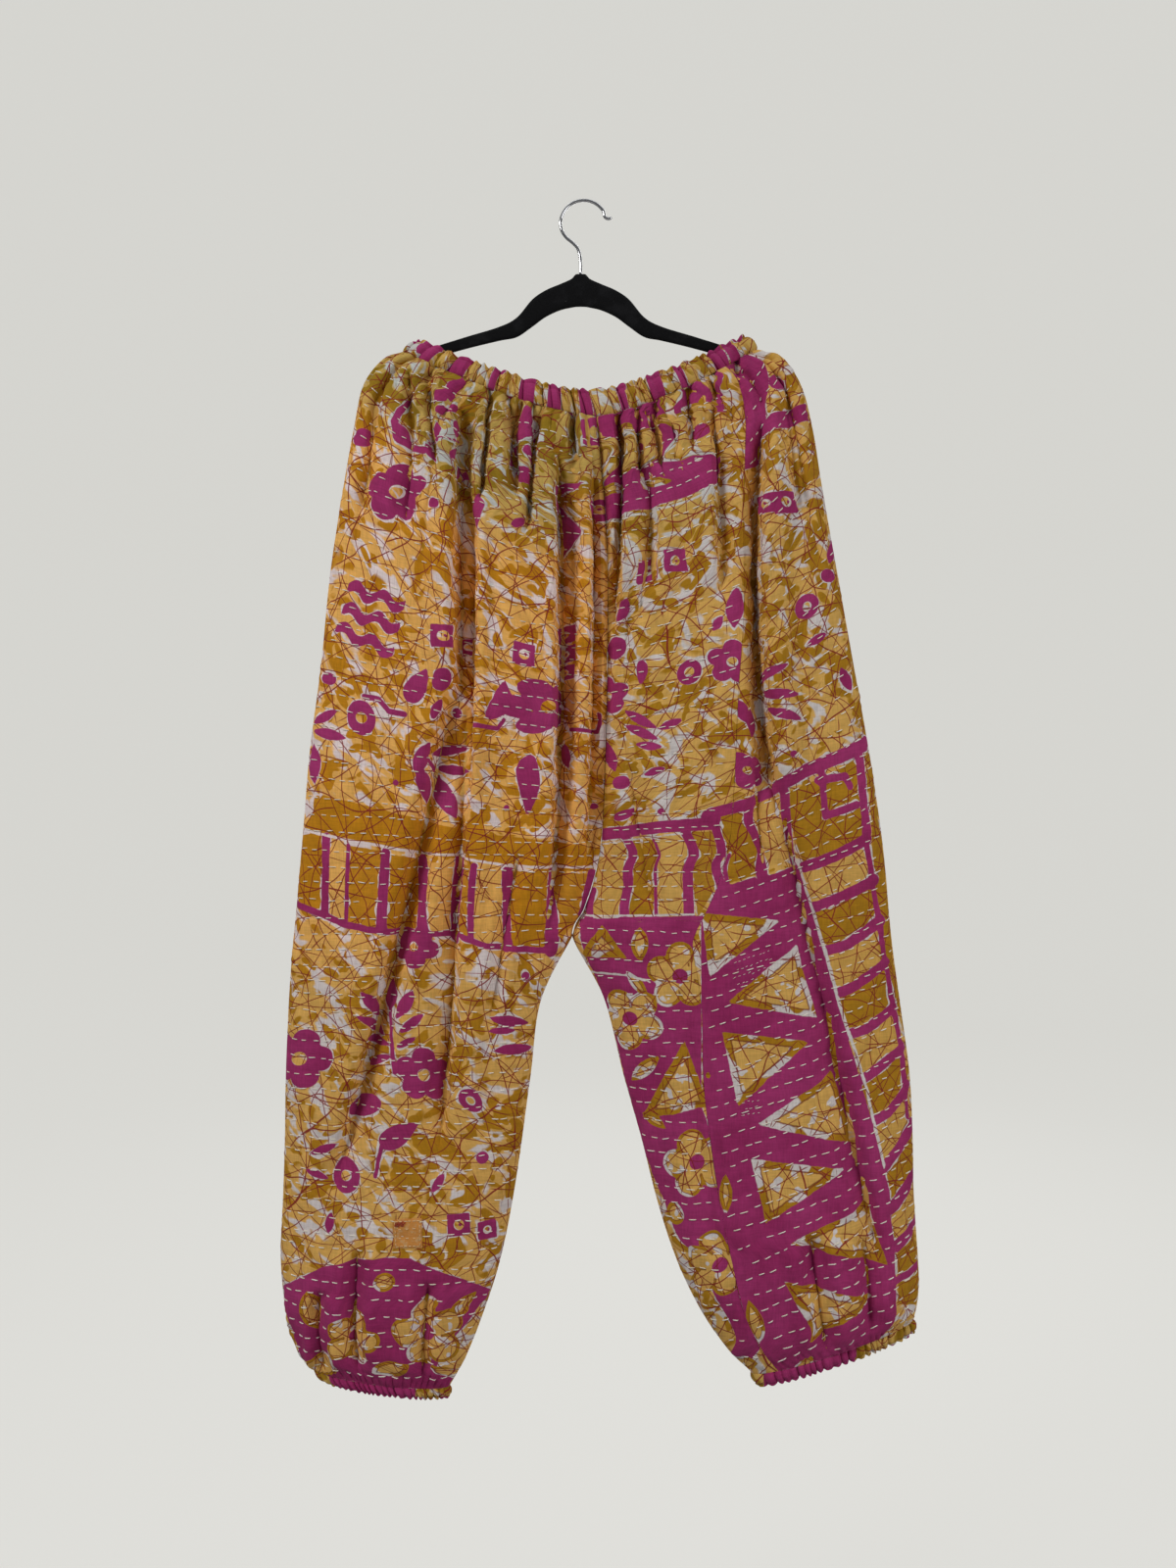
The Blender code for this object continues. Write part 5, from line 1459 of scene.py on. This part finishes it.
cotton = cotton_finish()
LEVEL_SEAM_HALF = 0.003          # half the level seam's gap, as a share of one level
PANELS = {}
for name, (side, face, first_edge, last_edge, first, last, spacing, slant) in PIECES.items():
    top = SEAM_ACROSS_LEFT_LEG + LEVEL_SEAM_HALF if first == "across" else first
    end = SEAM_ACROSS_LEFT_LEG - LEVEL_SEAM_HALF if last == "across" else last
    turned = (side == "left") != (face == "back")
    levels = levels_down(side, top, end, spacing)
    grid, across, level = even_grid(side, face, (first_edge, last_edge), levels, spacing)
    u, v = cloth_coordinates(side, face, across, level)
    height = relief(side, face, across, level, u, v, slant) * rim_fade(*u.shape, spacing)
    grid = grid + normals_of(grid, turned) * height[..., None]
    piece, outer, normal = cloth_wall(name, grid, u, v, turned, cotton)
    fields = front_print(name, side, u, v) if face == "front" else back_print(side, u, v)
    fields["khaki_tint_and_shade"] = khaki_and_waist_shade(side, u, v)
    write_panel_fields(piece, fields)
    PANELS[name] = {"outer": outer, "normal": normal, "u": u, "v": v, "slant": slant}
    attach(piece, "root")
    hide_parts(name.removesuffix("_cloth"))
    width, length, area = flat_cut(u, v)


# ---------------------------------------------------------------- running stitches, patch and mends
# Cream thread runs through both layers in rows 15 mm apart, with some 12 mm from stitch to stitch. Each
# stitch is a short thread that arches out of the cloth. A small orange patch is sewn on the right shin,
# and two worn places on the left leg are darned.
STITCH_LENGTH = 6.6
STITCH_RADIUS = 0.55
STITCH_EDGE = 7.0                # no stitch lies nearer to a piece's rim
STITCH_MISSED = 0.025            # share of the stitches that are worn away
# Along a stitch: share of its length from the middle, lift in radii times 1.5, share of its thickness.
STATIONS = ((-0.5, -0.15, 0.75), (-0.3, 0.7, 1.0), (0.3, 0.7, 1.0), (0.5, -0.15, 0.75))
THREAD_SIDES = 4


def on_panel(panel, u, v):
    """Points of a panel's outer face and its normals, at places on the flat cloth."""
    outer, normal = panel["outer"], panel["normal"]
    rows, columns = outer.shape[:2]
    row = np.interp(v, panel["v"][:, 0], np.arange(rows))
    low = np.clip(row.astype(int), 0, rows - 2)
    share = row - low
    first = panel["u"][low, 0] * (1 - share) + panel["u"][low + 1, 0] * share
    last = panel["u"][low, -1] * (1 - share) + panel["u"][low + 1, -1] * share
    column_at = np.clip((u - first) / (last - first), 0, 1) * (columns - 1)
    left = np.clip(column_at.astype(int), 0, columns - 2)
    aside = (column_at - left)[..., None]
    share = share[..., None]
    found = []
    for table in (outer, normal):
        upper = table[low, left] * (1 - aside) + table[low, left + 1] * aside
        lower = table[low + 1, left] * (1 - aside) + table[low + 1, left + 1] * aside
        found.append(upper * (1 - share) + lower * share)
    return found[0], found[1] / np.linalg.norm(found[1], axis=-1, keepdims=True)


def threads(name, panel, marks, material, radius=STITCH_RADIUS):
    """One mesh of arched stitches. marks holds each one's u, v, turn in radians and length."""
    u, v, turn, length = marks.T[:, :, None]
    along, lift, thin = np.array(STATIONS).T
    at = along * length
    place, normal = on_panel(panel, u + at * np.cos(turn), v - at * np.sin(turn))
    tangent = np.gradient(place, axis=1)
    tangent /= np.linalg.norm(tangent, axis=2, keepdims=True)
    aside = np.cross(tangent, normal)
    angle = (np.arange(THREAD_SIDES) + 0.5) * 2 * math.pi / THREAD_SIDES
    thick = (radius * thin)[None, :, None, None]
    sideways, upward = np.cos(angle)[:, None], np.sin(angle)[:, None]
    ring = (sideways * aside[:, :, None] + upward * normal[:, :, None]) * thick
    points = (place + normal * (lift * radius * 1.5)[None, :, None])[:, :, None] + ring
    size = len(STATIONS) * THREAD_SIDES
    base = np.arange(len(marks))[:, None, None] * size
    quads = (base + grid_quads(len(STATIONS), THREAD_SIDES, closed=True)).reshape(-1, 4)
    ends = np.array([range(THREAD_SIDES), range(size - 1, size - 1 - THREAD_SIDES, -1)])
    caps = (base + ends).reshape(-1, THREAD_SIDES)
    return mesh_object(name, points.reshape(-1, 3) * MM, [quads, caps], material)


def running_stitches(panel, seed):
    """Places of a panel's stitches: rows along the print's grain that waver and are unevenly spaced."""
    draw = np.random.default_rng(seed)
    u, v, slant = panel["u"], panel["v"], panel["slant"]
    lean = math.atan(slant)
    marks = []
    levels = (v + slant * u) / STITCH_ROWS
    for row in range(math.ceil(levels.min()), math.floor(levels.max()) + 1):
        start = STITCH_PITCH * ((math.pi - row * 2.4) / (2 * math.pi) % 1)
        counts = np.arange(math.floor(u.min() / STITCH_PITCH), math.ceil(u.max() / STITCH_PITCH))
        at = start + STITCH_PITCH * counts
        at = at + draw.normal(0, 0.9, len(at))
        waver = 1.3 * np.sin(at / 61 + row * 1.9)
        down = row * STITCH_ROWS - slant * at + waver + draw.normal(0, 0.4, len(at))
        near_row = np.interp(down, v[:, 0], np.arange(len(v)))
        whole = np.clip(np.round(near_row).astype(int), 0, len(v) - 1)
        kept = ((u[whole].min(axis=1) + STITCH_EDGE < at) & (at < u[whole].max(axis=1) - STITCH_EDGE)
                & (v[0, 0] + STITCH_EDGE < down) & (down < v[-1, 0] - STITCH_EDGE)
                & (draw.random(len(at)) > STITCH_MISSED))
        count = kept.sum()
        marks.append(np.stack([at[kept], down[kept], lean + draw.normal(0, 0.07, count),
                               STITCH_LENGTH * draw.uniform(0.72, 1.16, count)], axis=1))
    return np.concatenate(marks)


def thread_finish(name, colour, worn):
    """Soft cotton thread, its colour a little uneven along the rows."""
    finish = Finish(name, Roughness=0.8, Sheen_Weight=0.2, Specular_IOR_Level=0.3)
    place = finish.object_millimetres()
    finish.feed("Base Color", place.noise(23.0, 1.0).over(0.35, 0.7).mix(colour, worn))
    finish.bump(place.noise(0.7, 1.0), 0.0001)
    return finish.material


def patch_finish():
    """Plain-woven orange cotton, a fine check of threads with faded spots."""
    finish = Finish("patch_cotton", Roughness=0.9, Sheen_Weight=0.15, Specular_IOR_Level=0.25)
    cloth = finish.cloth_millimetres()
    weave = (cloth.scaled((1.0, 0.1, 1.0)).noise(0.9, 1.0)
             + cloth.scaled((0.1, 1.0, 1.0)).noise(0.9, 1.0, 4.0))
    spots = cloth.noise(4.0, 2.0, 9.0).over(0.52, 0.66)
    colour = (spots * 0.6).mix((0.72, 0.30, 0.065), (0.70, 0.46, 0.22))
    darker, lighter = colour.scaled((0.85, 0.85, 0.85)), colour.scaled((1.1, 1.1, 1.1))
    finish.feed("Base Color", (weave - 0.5).mix(darker, lighter))
    finish.bump(weave, 0.0002)
    return finish.material


cream_thread = thread_finish("cream_thread", (0.97, 0.93, 0.82), (0.92, 0.84, 0.66))
red_thread = thread_finish("red_thread", (0.52, 0.03, 0.02), (0.45, 0.05, 0.03))
for seed, (name, panel) in enumerate(PANELS.items()):
    marks = running_stitches(panel, 50 + seed)
    stitched = threads(name.replace("_cloth", "_stitches"), panel, marks, cream_thread)
    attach(stitched, "root")

PATCH_AT = (416, 1258)           # pixels of the photograph
PATCH_SIZE = 27.0
PATCH_TURN = math.radians(3)
PATCH_POINTS = 25
PATCH_LIFT = 0.75
PATCH_CLOTH = 0.6
PATCH_CURL = 0.35                # how far its edge turns down to the leg
PATCH_SEAM_INSET = 1.9           # of its stitches, from its edge


def build_patch():
    """A square of points read off the right front's outer face and moved out, with a slightly frayed edge."""
    panel = PANELS["right_front_cloth"]
    middle = cloth_place("right", *PATCH_AT)
    draw = np.random.default_rng(70)
    run = np.linspace(-PATCH_SIZE / 2, PATCH_SIZE / 2, PATCH_POINTS)
    aside, down = np.meshgrid(run, run)
    fray = draw.normal(0, 0.22, (2, PATCH_POINTS, PATCH_POINTS))
    rim = np.maximum(np.abs(aside), np.abs(down)) > PATCH_SIZE / 2 - 0.1
    u = middle[0] + aside * math.cos(PATCH_TURN) + down * math.sin(PATCH_TURN) + fray[0] * rim
    v = middle[1] + down * math.cos(PATCH_TURN) - aside * math.sin(PATCH_TURN) + fray[1] * rim
    place, normal = on_panel(panel, u, v)
    curl = PATCH_CURL * np.exp(-((PATCH_SIZE / 2 - np.maximum(np.abs(aside), np.abs(down))) / 1.4) ** 2)
    ripple = 0.12 * np.sin(aside / 2.6) * np.sin(down / 3.1)
    middle_points = place + normal * (PATCH_LIFT + ripple - curl)[..., None]
    made = cloth_wall("patch", middle_points, u, v, False, patch_finish(), PATCH_CLOTH)[0]
    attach(made, "root")
    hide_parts("shin_patch")
    inset = PATCH_SIZE / 2 - PATCH_SEAM_INSET
    step = np.linspace(-inset + 1.5, inset - 1.5, 6)
    sides = [(x, y, turn) for at in step for x, y, turn in
             ((at, -inset, 0), (at, inset, 0), (-inset, at, math.pi / 2), (inset, at, math.pi / 2))]
    across = [(at, line, 0.05) for line in (-4.6, 4.4) for at in (-7.5, -0.5, 6.5)]
    return panel, middle, np.array(sides + across)


def patch_marks(middle, marks, length):
    """Stitches on the patch, from places about its middle."""
    x, y, turn = np.asarray(marks, float).T
    c, s = math.cos(PATCH_TURN), math.sin(PATCH_TURN)
    return np.stack([middle[0] + x * c + y * s, middle[1] + y * c - x * s, turn + PATCH_TURN,
                     np.full(len(x), length)], axis=1)


panel, middle, dashes = build_patch()
lifted = dict(panel, outer=panel["outer"] + panel["normal"] * (PATCH_LIFT + PATCH_CLOTH / 2))
patch_thread = thread_finish("patch_thread", (0.93, 0.78, 0.50), (0.84, 0.58, 0.26))
red_marks = [(-10.8 + 1.5 * step, -9.4 + 0.5 * (step % 3) - 0.12 * step, 1.25 - 0.2 * (step % 2))
             for step in range(6)]
for name, marks, length, thread, thick in (("patch_stitches", dashes, 2.6, patch_thread, 0.42),
                                           ("patch_red_stitches", red_marks, 5.4, red_thread, 0.5)):
    stitched = threads(name, lifted, patch_marks(middle, marks, length), thread, thick)
    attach(stitched, "root")

DARN_PITCH = 4.6
DARN_RADIUS = 0.28
DARNS = {       # pixel x and y of a darn's middle, its width and height in millimetres, rows, turn
    "left_side_darn": (768, 986, 34, 22, 4, 0.5),
    "left_low_darn": (768, 1131, 18, 12, 3, 0.3),
}
for seed, (name, (x, y, wide, high, rows, turn)) in enumerate(DARNS.items()):
    draw = np.random.default_rng(80 + seed)
    middle = cloth_place("left", x, y)
    aside, down = np.meshgrid(np.arange(-wide / 2, wide / 2, DARN_PITCH),
                              np.linspace(-high / 2, high / 2, rows))
    aside = aside + draw.normal(0, 0.6, aside.shape) + DARN_PITCH / 2 * (np.arange(rows) % 2)[:, None]
    down = down + draw.normal(0, 0.5, down.shape) - aside * math.tan(turn) * 0.6
    marks = np.stack([middle[0] + aside.ravel(), middle[1] + down.ravel(),
                      turn + draw.normal(0, 0.12, aside.size), draw.uniform(1.9, 3.0, aside.size)], axis=1)
    stitched = threads(name, PANELS["left_front_side_cloth"], marks, cream_thread, DARN_RADIUS)
    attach(stitched, "root")


# ---------------------------------------------------------------- gathered casings
# At the waist and each ankle the panels are sewn to a casing of the same cotton, drawn up by the elastic
# inside it into close upright ribs. The waist casing is in two halves, sewn to each other at the sides.

# Free edges of the gathered rings, as each side's outer and inner end (x, z), and their reach in depth.
WAIST_TOP = {"right": ((-159, -134), (4, -187)), "left": ((153, -131), (4, -187))}
CUFF_BOTTOM = {"right": ((-249, -1142), (-130, -1157)), "left": ((319, -1095), (168, -1147))}
FREE_EDGE_REACH = 15
CASING_SEAM_GAP = 0.2            # from a panel's edge to the casing sewn to it
WAIST_CASING = {"columns": 16, "wall": 3.4, "puff": 1.1, "rib": 2.5, "ruffle": 1.3}
CUFF_CASING = {"columns": 12, "wall": 2.6, "puff": 0.8, "rib": 1.6, "ruffle": 0.9}
# The casing's section, from the sewn edge up its outer face, over the free edge and down the inner face:
# share of the height, distance out in walls, share of the ribs' depth, share of the ruffle's lift.
CASING_SECTION = (
    (0.00, 0.05, 0.90, 0.0), (0.03, 0.24, 1.05, 0.0), (0.09, 0.42, 1.10, 0.0), (0.20, 0.60, 1.10, 0.0),
    (0.36, 0.74, 1.15, 0.0), (0.54, 0.76, 1.10, 0.1), (0.68, 0.62, 1.05, 0.2), (0.76, 0.38, 1.00, 0.3),
    (0.81, 0.10, 0.80, 0.5), (0.86, 0.22, 1.05, 0.7), (0.93, 0.30, 1.15, 0.9), (0.985, 0.22, 1.10, 1.0),
    (1.00, -0.05, 0.90, 1.0), (0.985, -0.34, 0.70, 1.0), (0.90, -0.46, 0.45, 0.6), (0.72, -0.50, 0.25, 0.2),
    (0.45, -0.50, 0.15, 0.0), (0.15, -0.50, 0.10, 0.0), (0.03, -0.46, 0.20, 0.0), (0.00, -0.30, 0.40, 0.0),
)


def casing_line(side, face, level, ends, parted, columns, gathers):
    """One face's sewn line and free line, ordered with x growing, its gathers' phase and its cloth's u."""
    share = np.linspace(0, 1, int(gathers * columns) + 1)
    at = share[None, :]
    outer, inner = ends[side]
    near = stand(face, *tube_at(side, face, at, np.full_like(at, level)))[0]
    far = stand(face, *tube_edge(outer, inner, FREE_EDGE_REACH, at, np.array([[parted]])))[0]
    u = np.interp(share, MAP_SHARES, read_rows(CLOTH_MAPS[side, face]["u"], np.array([float(level)]))[0])
    phase = gather_phase(side, face, share, gathers)
    order = slice(None) if side == "right" else slice(None, None, -1)
    return [table[order] for table in (near, far, phase, u)]


def casing_sections(near, far, phase, sizes, closed):
    """Sections round a casing: the table above, with a height over the ribs of |cos(phase / 2)|^0.6.

    So each rib is round on top and its valley is narrow. The free edge's ruffle swings between them.
    """
    step = np.roll(near, -1, axis=0) - np.roll(near, 1, axis=0) if closed else np.gradient(near, axis=0)
    rise = far - near
    height = np.linalg.norm(rise, axis=1, keepdims=True)
    rise = rise / height
    out = np.cross(step, rise)
    out /= np.linalg.norm(out, axis=1, keepdims=True)
    out *= np.sign((out * (near - near.mean(axis=0) * (1, 0, 1))).sum())
    deep = 1 + 0.22 * np.sin(phase * 0.31 + 1) + 0.16 * np.sin(phase * 0.683)
    creases = 0.14 * np.cos(2 * phase + 2.6 * np.sin(phase * 0.23))
    rib = (np.abs(np.cos(phase / 2)) ** 0.6 - 0.7) * 1.8 * deep + creases
    swing = 0.55 * np.cos(phase + 0.4) + 0.5 * np.cos(0.5 * phase + 2.0 * np.sin(phase * 0.19))
    rows = []
    for up, away, ribbed, lift in CASING_SECTION:
        bulge = sizes["puff"] * max(0.0, 1 - ((up - 0.42) / 0.4) ** 2) * (away > 0)
        outward = away * sizes["wall"] + bulge + sizes["rib"] * ribbed * rib
        upward = CASING_SEAM_GAP + up * (height[:, 0] - CASING_SEAM_GAP) + lift * sizes["ruffle"] * swing
        rows.append(near + rise * upward[:, None] + out * outward[:, None])
    return np.stack(rows, axis=1)


def casing_object(name, sections, u, v, closed, seed, pink_stretches, rests_on):
    """Joins the sections, with the cloth's u and v and a seeded scatter of the print's motifs."""
    count, size = sections.shape[:2]
    around = np.arange(count if closed else count - 1)
    rows, after = around * size, (around + 1) % count * size
    step = np.arange(size)
    quads = np.stack([rows[:, None] + step, rows[:, None] + (step + 1) % size,
                      after[:, None] + (step + 1) % size, after[:, None] + step], axis=-1).reshape(-1, 4)
    faces = [quads]
    if not closed:
        faces += [step[None, ::-1], (count - 1) * size + step[None, :]]
    corners = sections.reshape(-1, 3)[quads]
    volume = (corners[:, 0] * np.cross(corners[:, 1], corners[:, 2])
              + corners[:, 0] * np.cross(corners[:, 2], corners[:, 3])).sum()
    if volume < 0:
        faces = [block[:, ::-1] for block in faces]
    made = mesh_object(name, sections.reshape(-1, 3) * MM, faces, cotton, 60)
    add_cloth_map(made, np.stack([u.ravel(), v.ravel()], axis=1))
    fields = empty_print(u.shape)
    fields["khaki_tint_and_shade"] += 0.8
    draw = np.random.default_rng(seed)
    for at in np.arange(u.min(), u.max(), CASING_MOTIFS_APART):
        middle = np.array([at + draw.uniform(0, 12), draw.uniform(v.min(), v.max())])
        shape, ratio = (("leaf", 0.5), ("disc", 0.8), ("leaf", 0.7))[draw.integers(3)]
        add_motif(fields, "print_pink", u, v, shape, middle, draw.uniform(7, 15), ratio, draw.uniform(0, 180))
    for middle, half in pink_stretches:
        add(fields, "print_pink", np.abs(u + 0.25 * v - middle - 0.25 * v.mean()) - half)
    for field, values in fields.items():
        write_field(made, field, values)
    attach(made, "root")
    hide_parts(name.removesuffix("_gathered"))


GATHERED_IN = 1.5                # millimetres of cloth in each millimetre of a casing
WAIST_SEAM_V = -10.0             # the cloth's v at the edge that is sewn to the panels
CUFF_SEAM_V = 1040.0
CASING_MOTIFS_APART = 26.0
# Where each casing is magenta: x of the middle of a stretch and half its width, in millimetres.
CASING_PINK = {
    "waist_casing_front": ((-152, 7), (-121, 9), (-52, 4), (6, 7), (42, 5), (72, 12), (99, 7), (149, 8)),
    "waist_casing_back": ((-94, 20), (-30, 9), (60, 14), (120, 9)),
    "right_cuff": ((-206, 28),),
    "left_cuff": ((213, 31),),
}


def stretches_on(u, x, name):
    """The magenta stretches of a casing, as middles and half widths in u."""
    order = np.argsort(x)
    return [(np.interp(middle, x[order], u[order]), GATHERED_IN * half) for middle, half in CASING_PINK[name]]


for seed, face in enumerate(("front", "back")):
    name = "waist_casing_" + face
    lines = [casing_line(side, face, 0, WAIST_TOP, 0.0, WAIST_CASING["columns"], WAIST_GATHERS)
             for side in ("right", "left")]
    near, far, phase, u = (np.concatenate([lines[0][k], lines[1][k][1:]]) for k in range(4))
    sections = casing_sections(near, far, phase, WAIST_CASING, False)
    outward = -1 if face == "front" else 1
    depth = np.maximum(outward * sections[..., 1], CASING_SEAM_GAP / 2)
    depth[[0, -1]] = CASING_SEAM_GAP / 2
    sections[..., 1] = outward * depth
    v = WAIST_SEAM_V - line_lengths(sections)
    pink = stretches_on(u, near[:, 0], name)
    u = np.repeat(u[:, None], sections.shape[1], axis=1)
    casing_object(name + "_gathered", sections, u, v, False, 90 + seed, pink, ["hanger"])

for seed, side in enumerate(("right", "left")):
    front, back = (casing_line(side, face, HEM, CUFF_BOTTOM, 1.0, CUFF_CASING["columns"], CUFF_GATHERS)
                   for face in ("front", "back"))
    near, far, phase, u = (np.concatenate([front[k][:-1], back[k][:0:-1]]) for k in range(4))
    u = np.concatenate([front[3][:-1], 2 * front[3][-1] - back[3][:0:-1]])
    phase = np.concatenate([front[2][:-1], front[2][-1] + back[2][-1] - back[2][:0:-1]])
    sections = casing_sections(near, far, phase, CUFF_CASING, True)
    v = CUFF_SEAM_V + line_lengths(sections)
    pink = stretches_on(front[3], front[0][:, 0], side + "_cuff")
    u = np.repeat(u[:, None], sections.shape[1], axis=1)
    casing_object(side + "_cuff_gathered", sections, u, v, True, 94 + seed, pink,
                  [side + "_back_cloth", "right_front_cloth" if side == "right" else "left_front_side_cloth"])
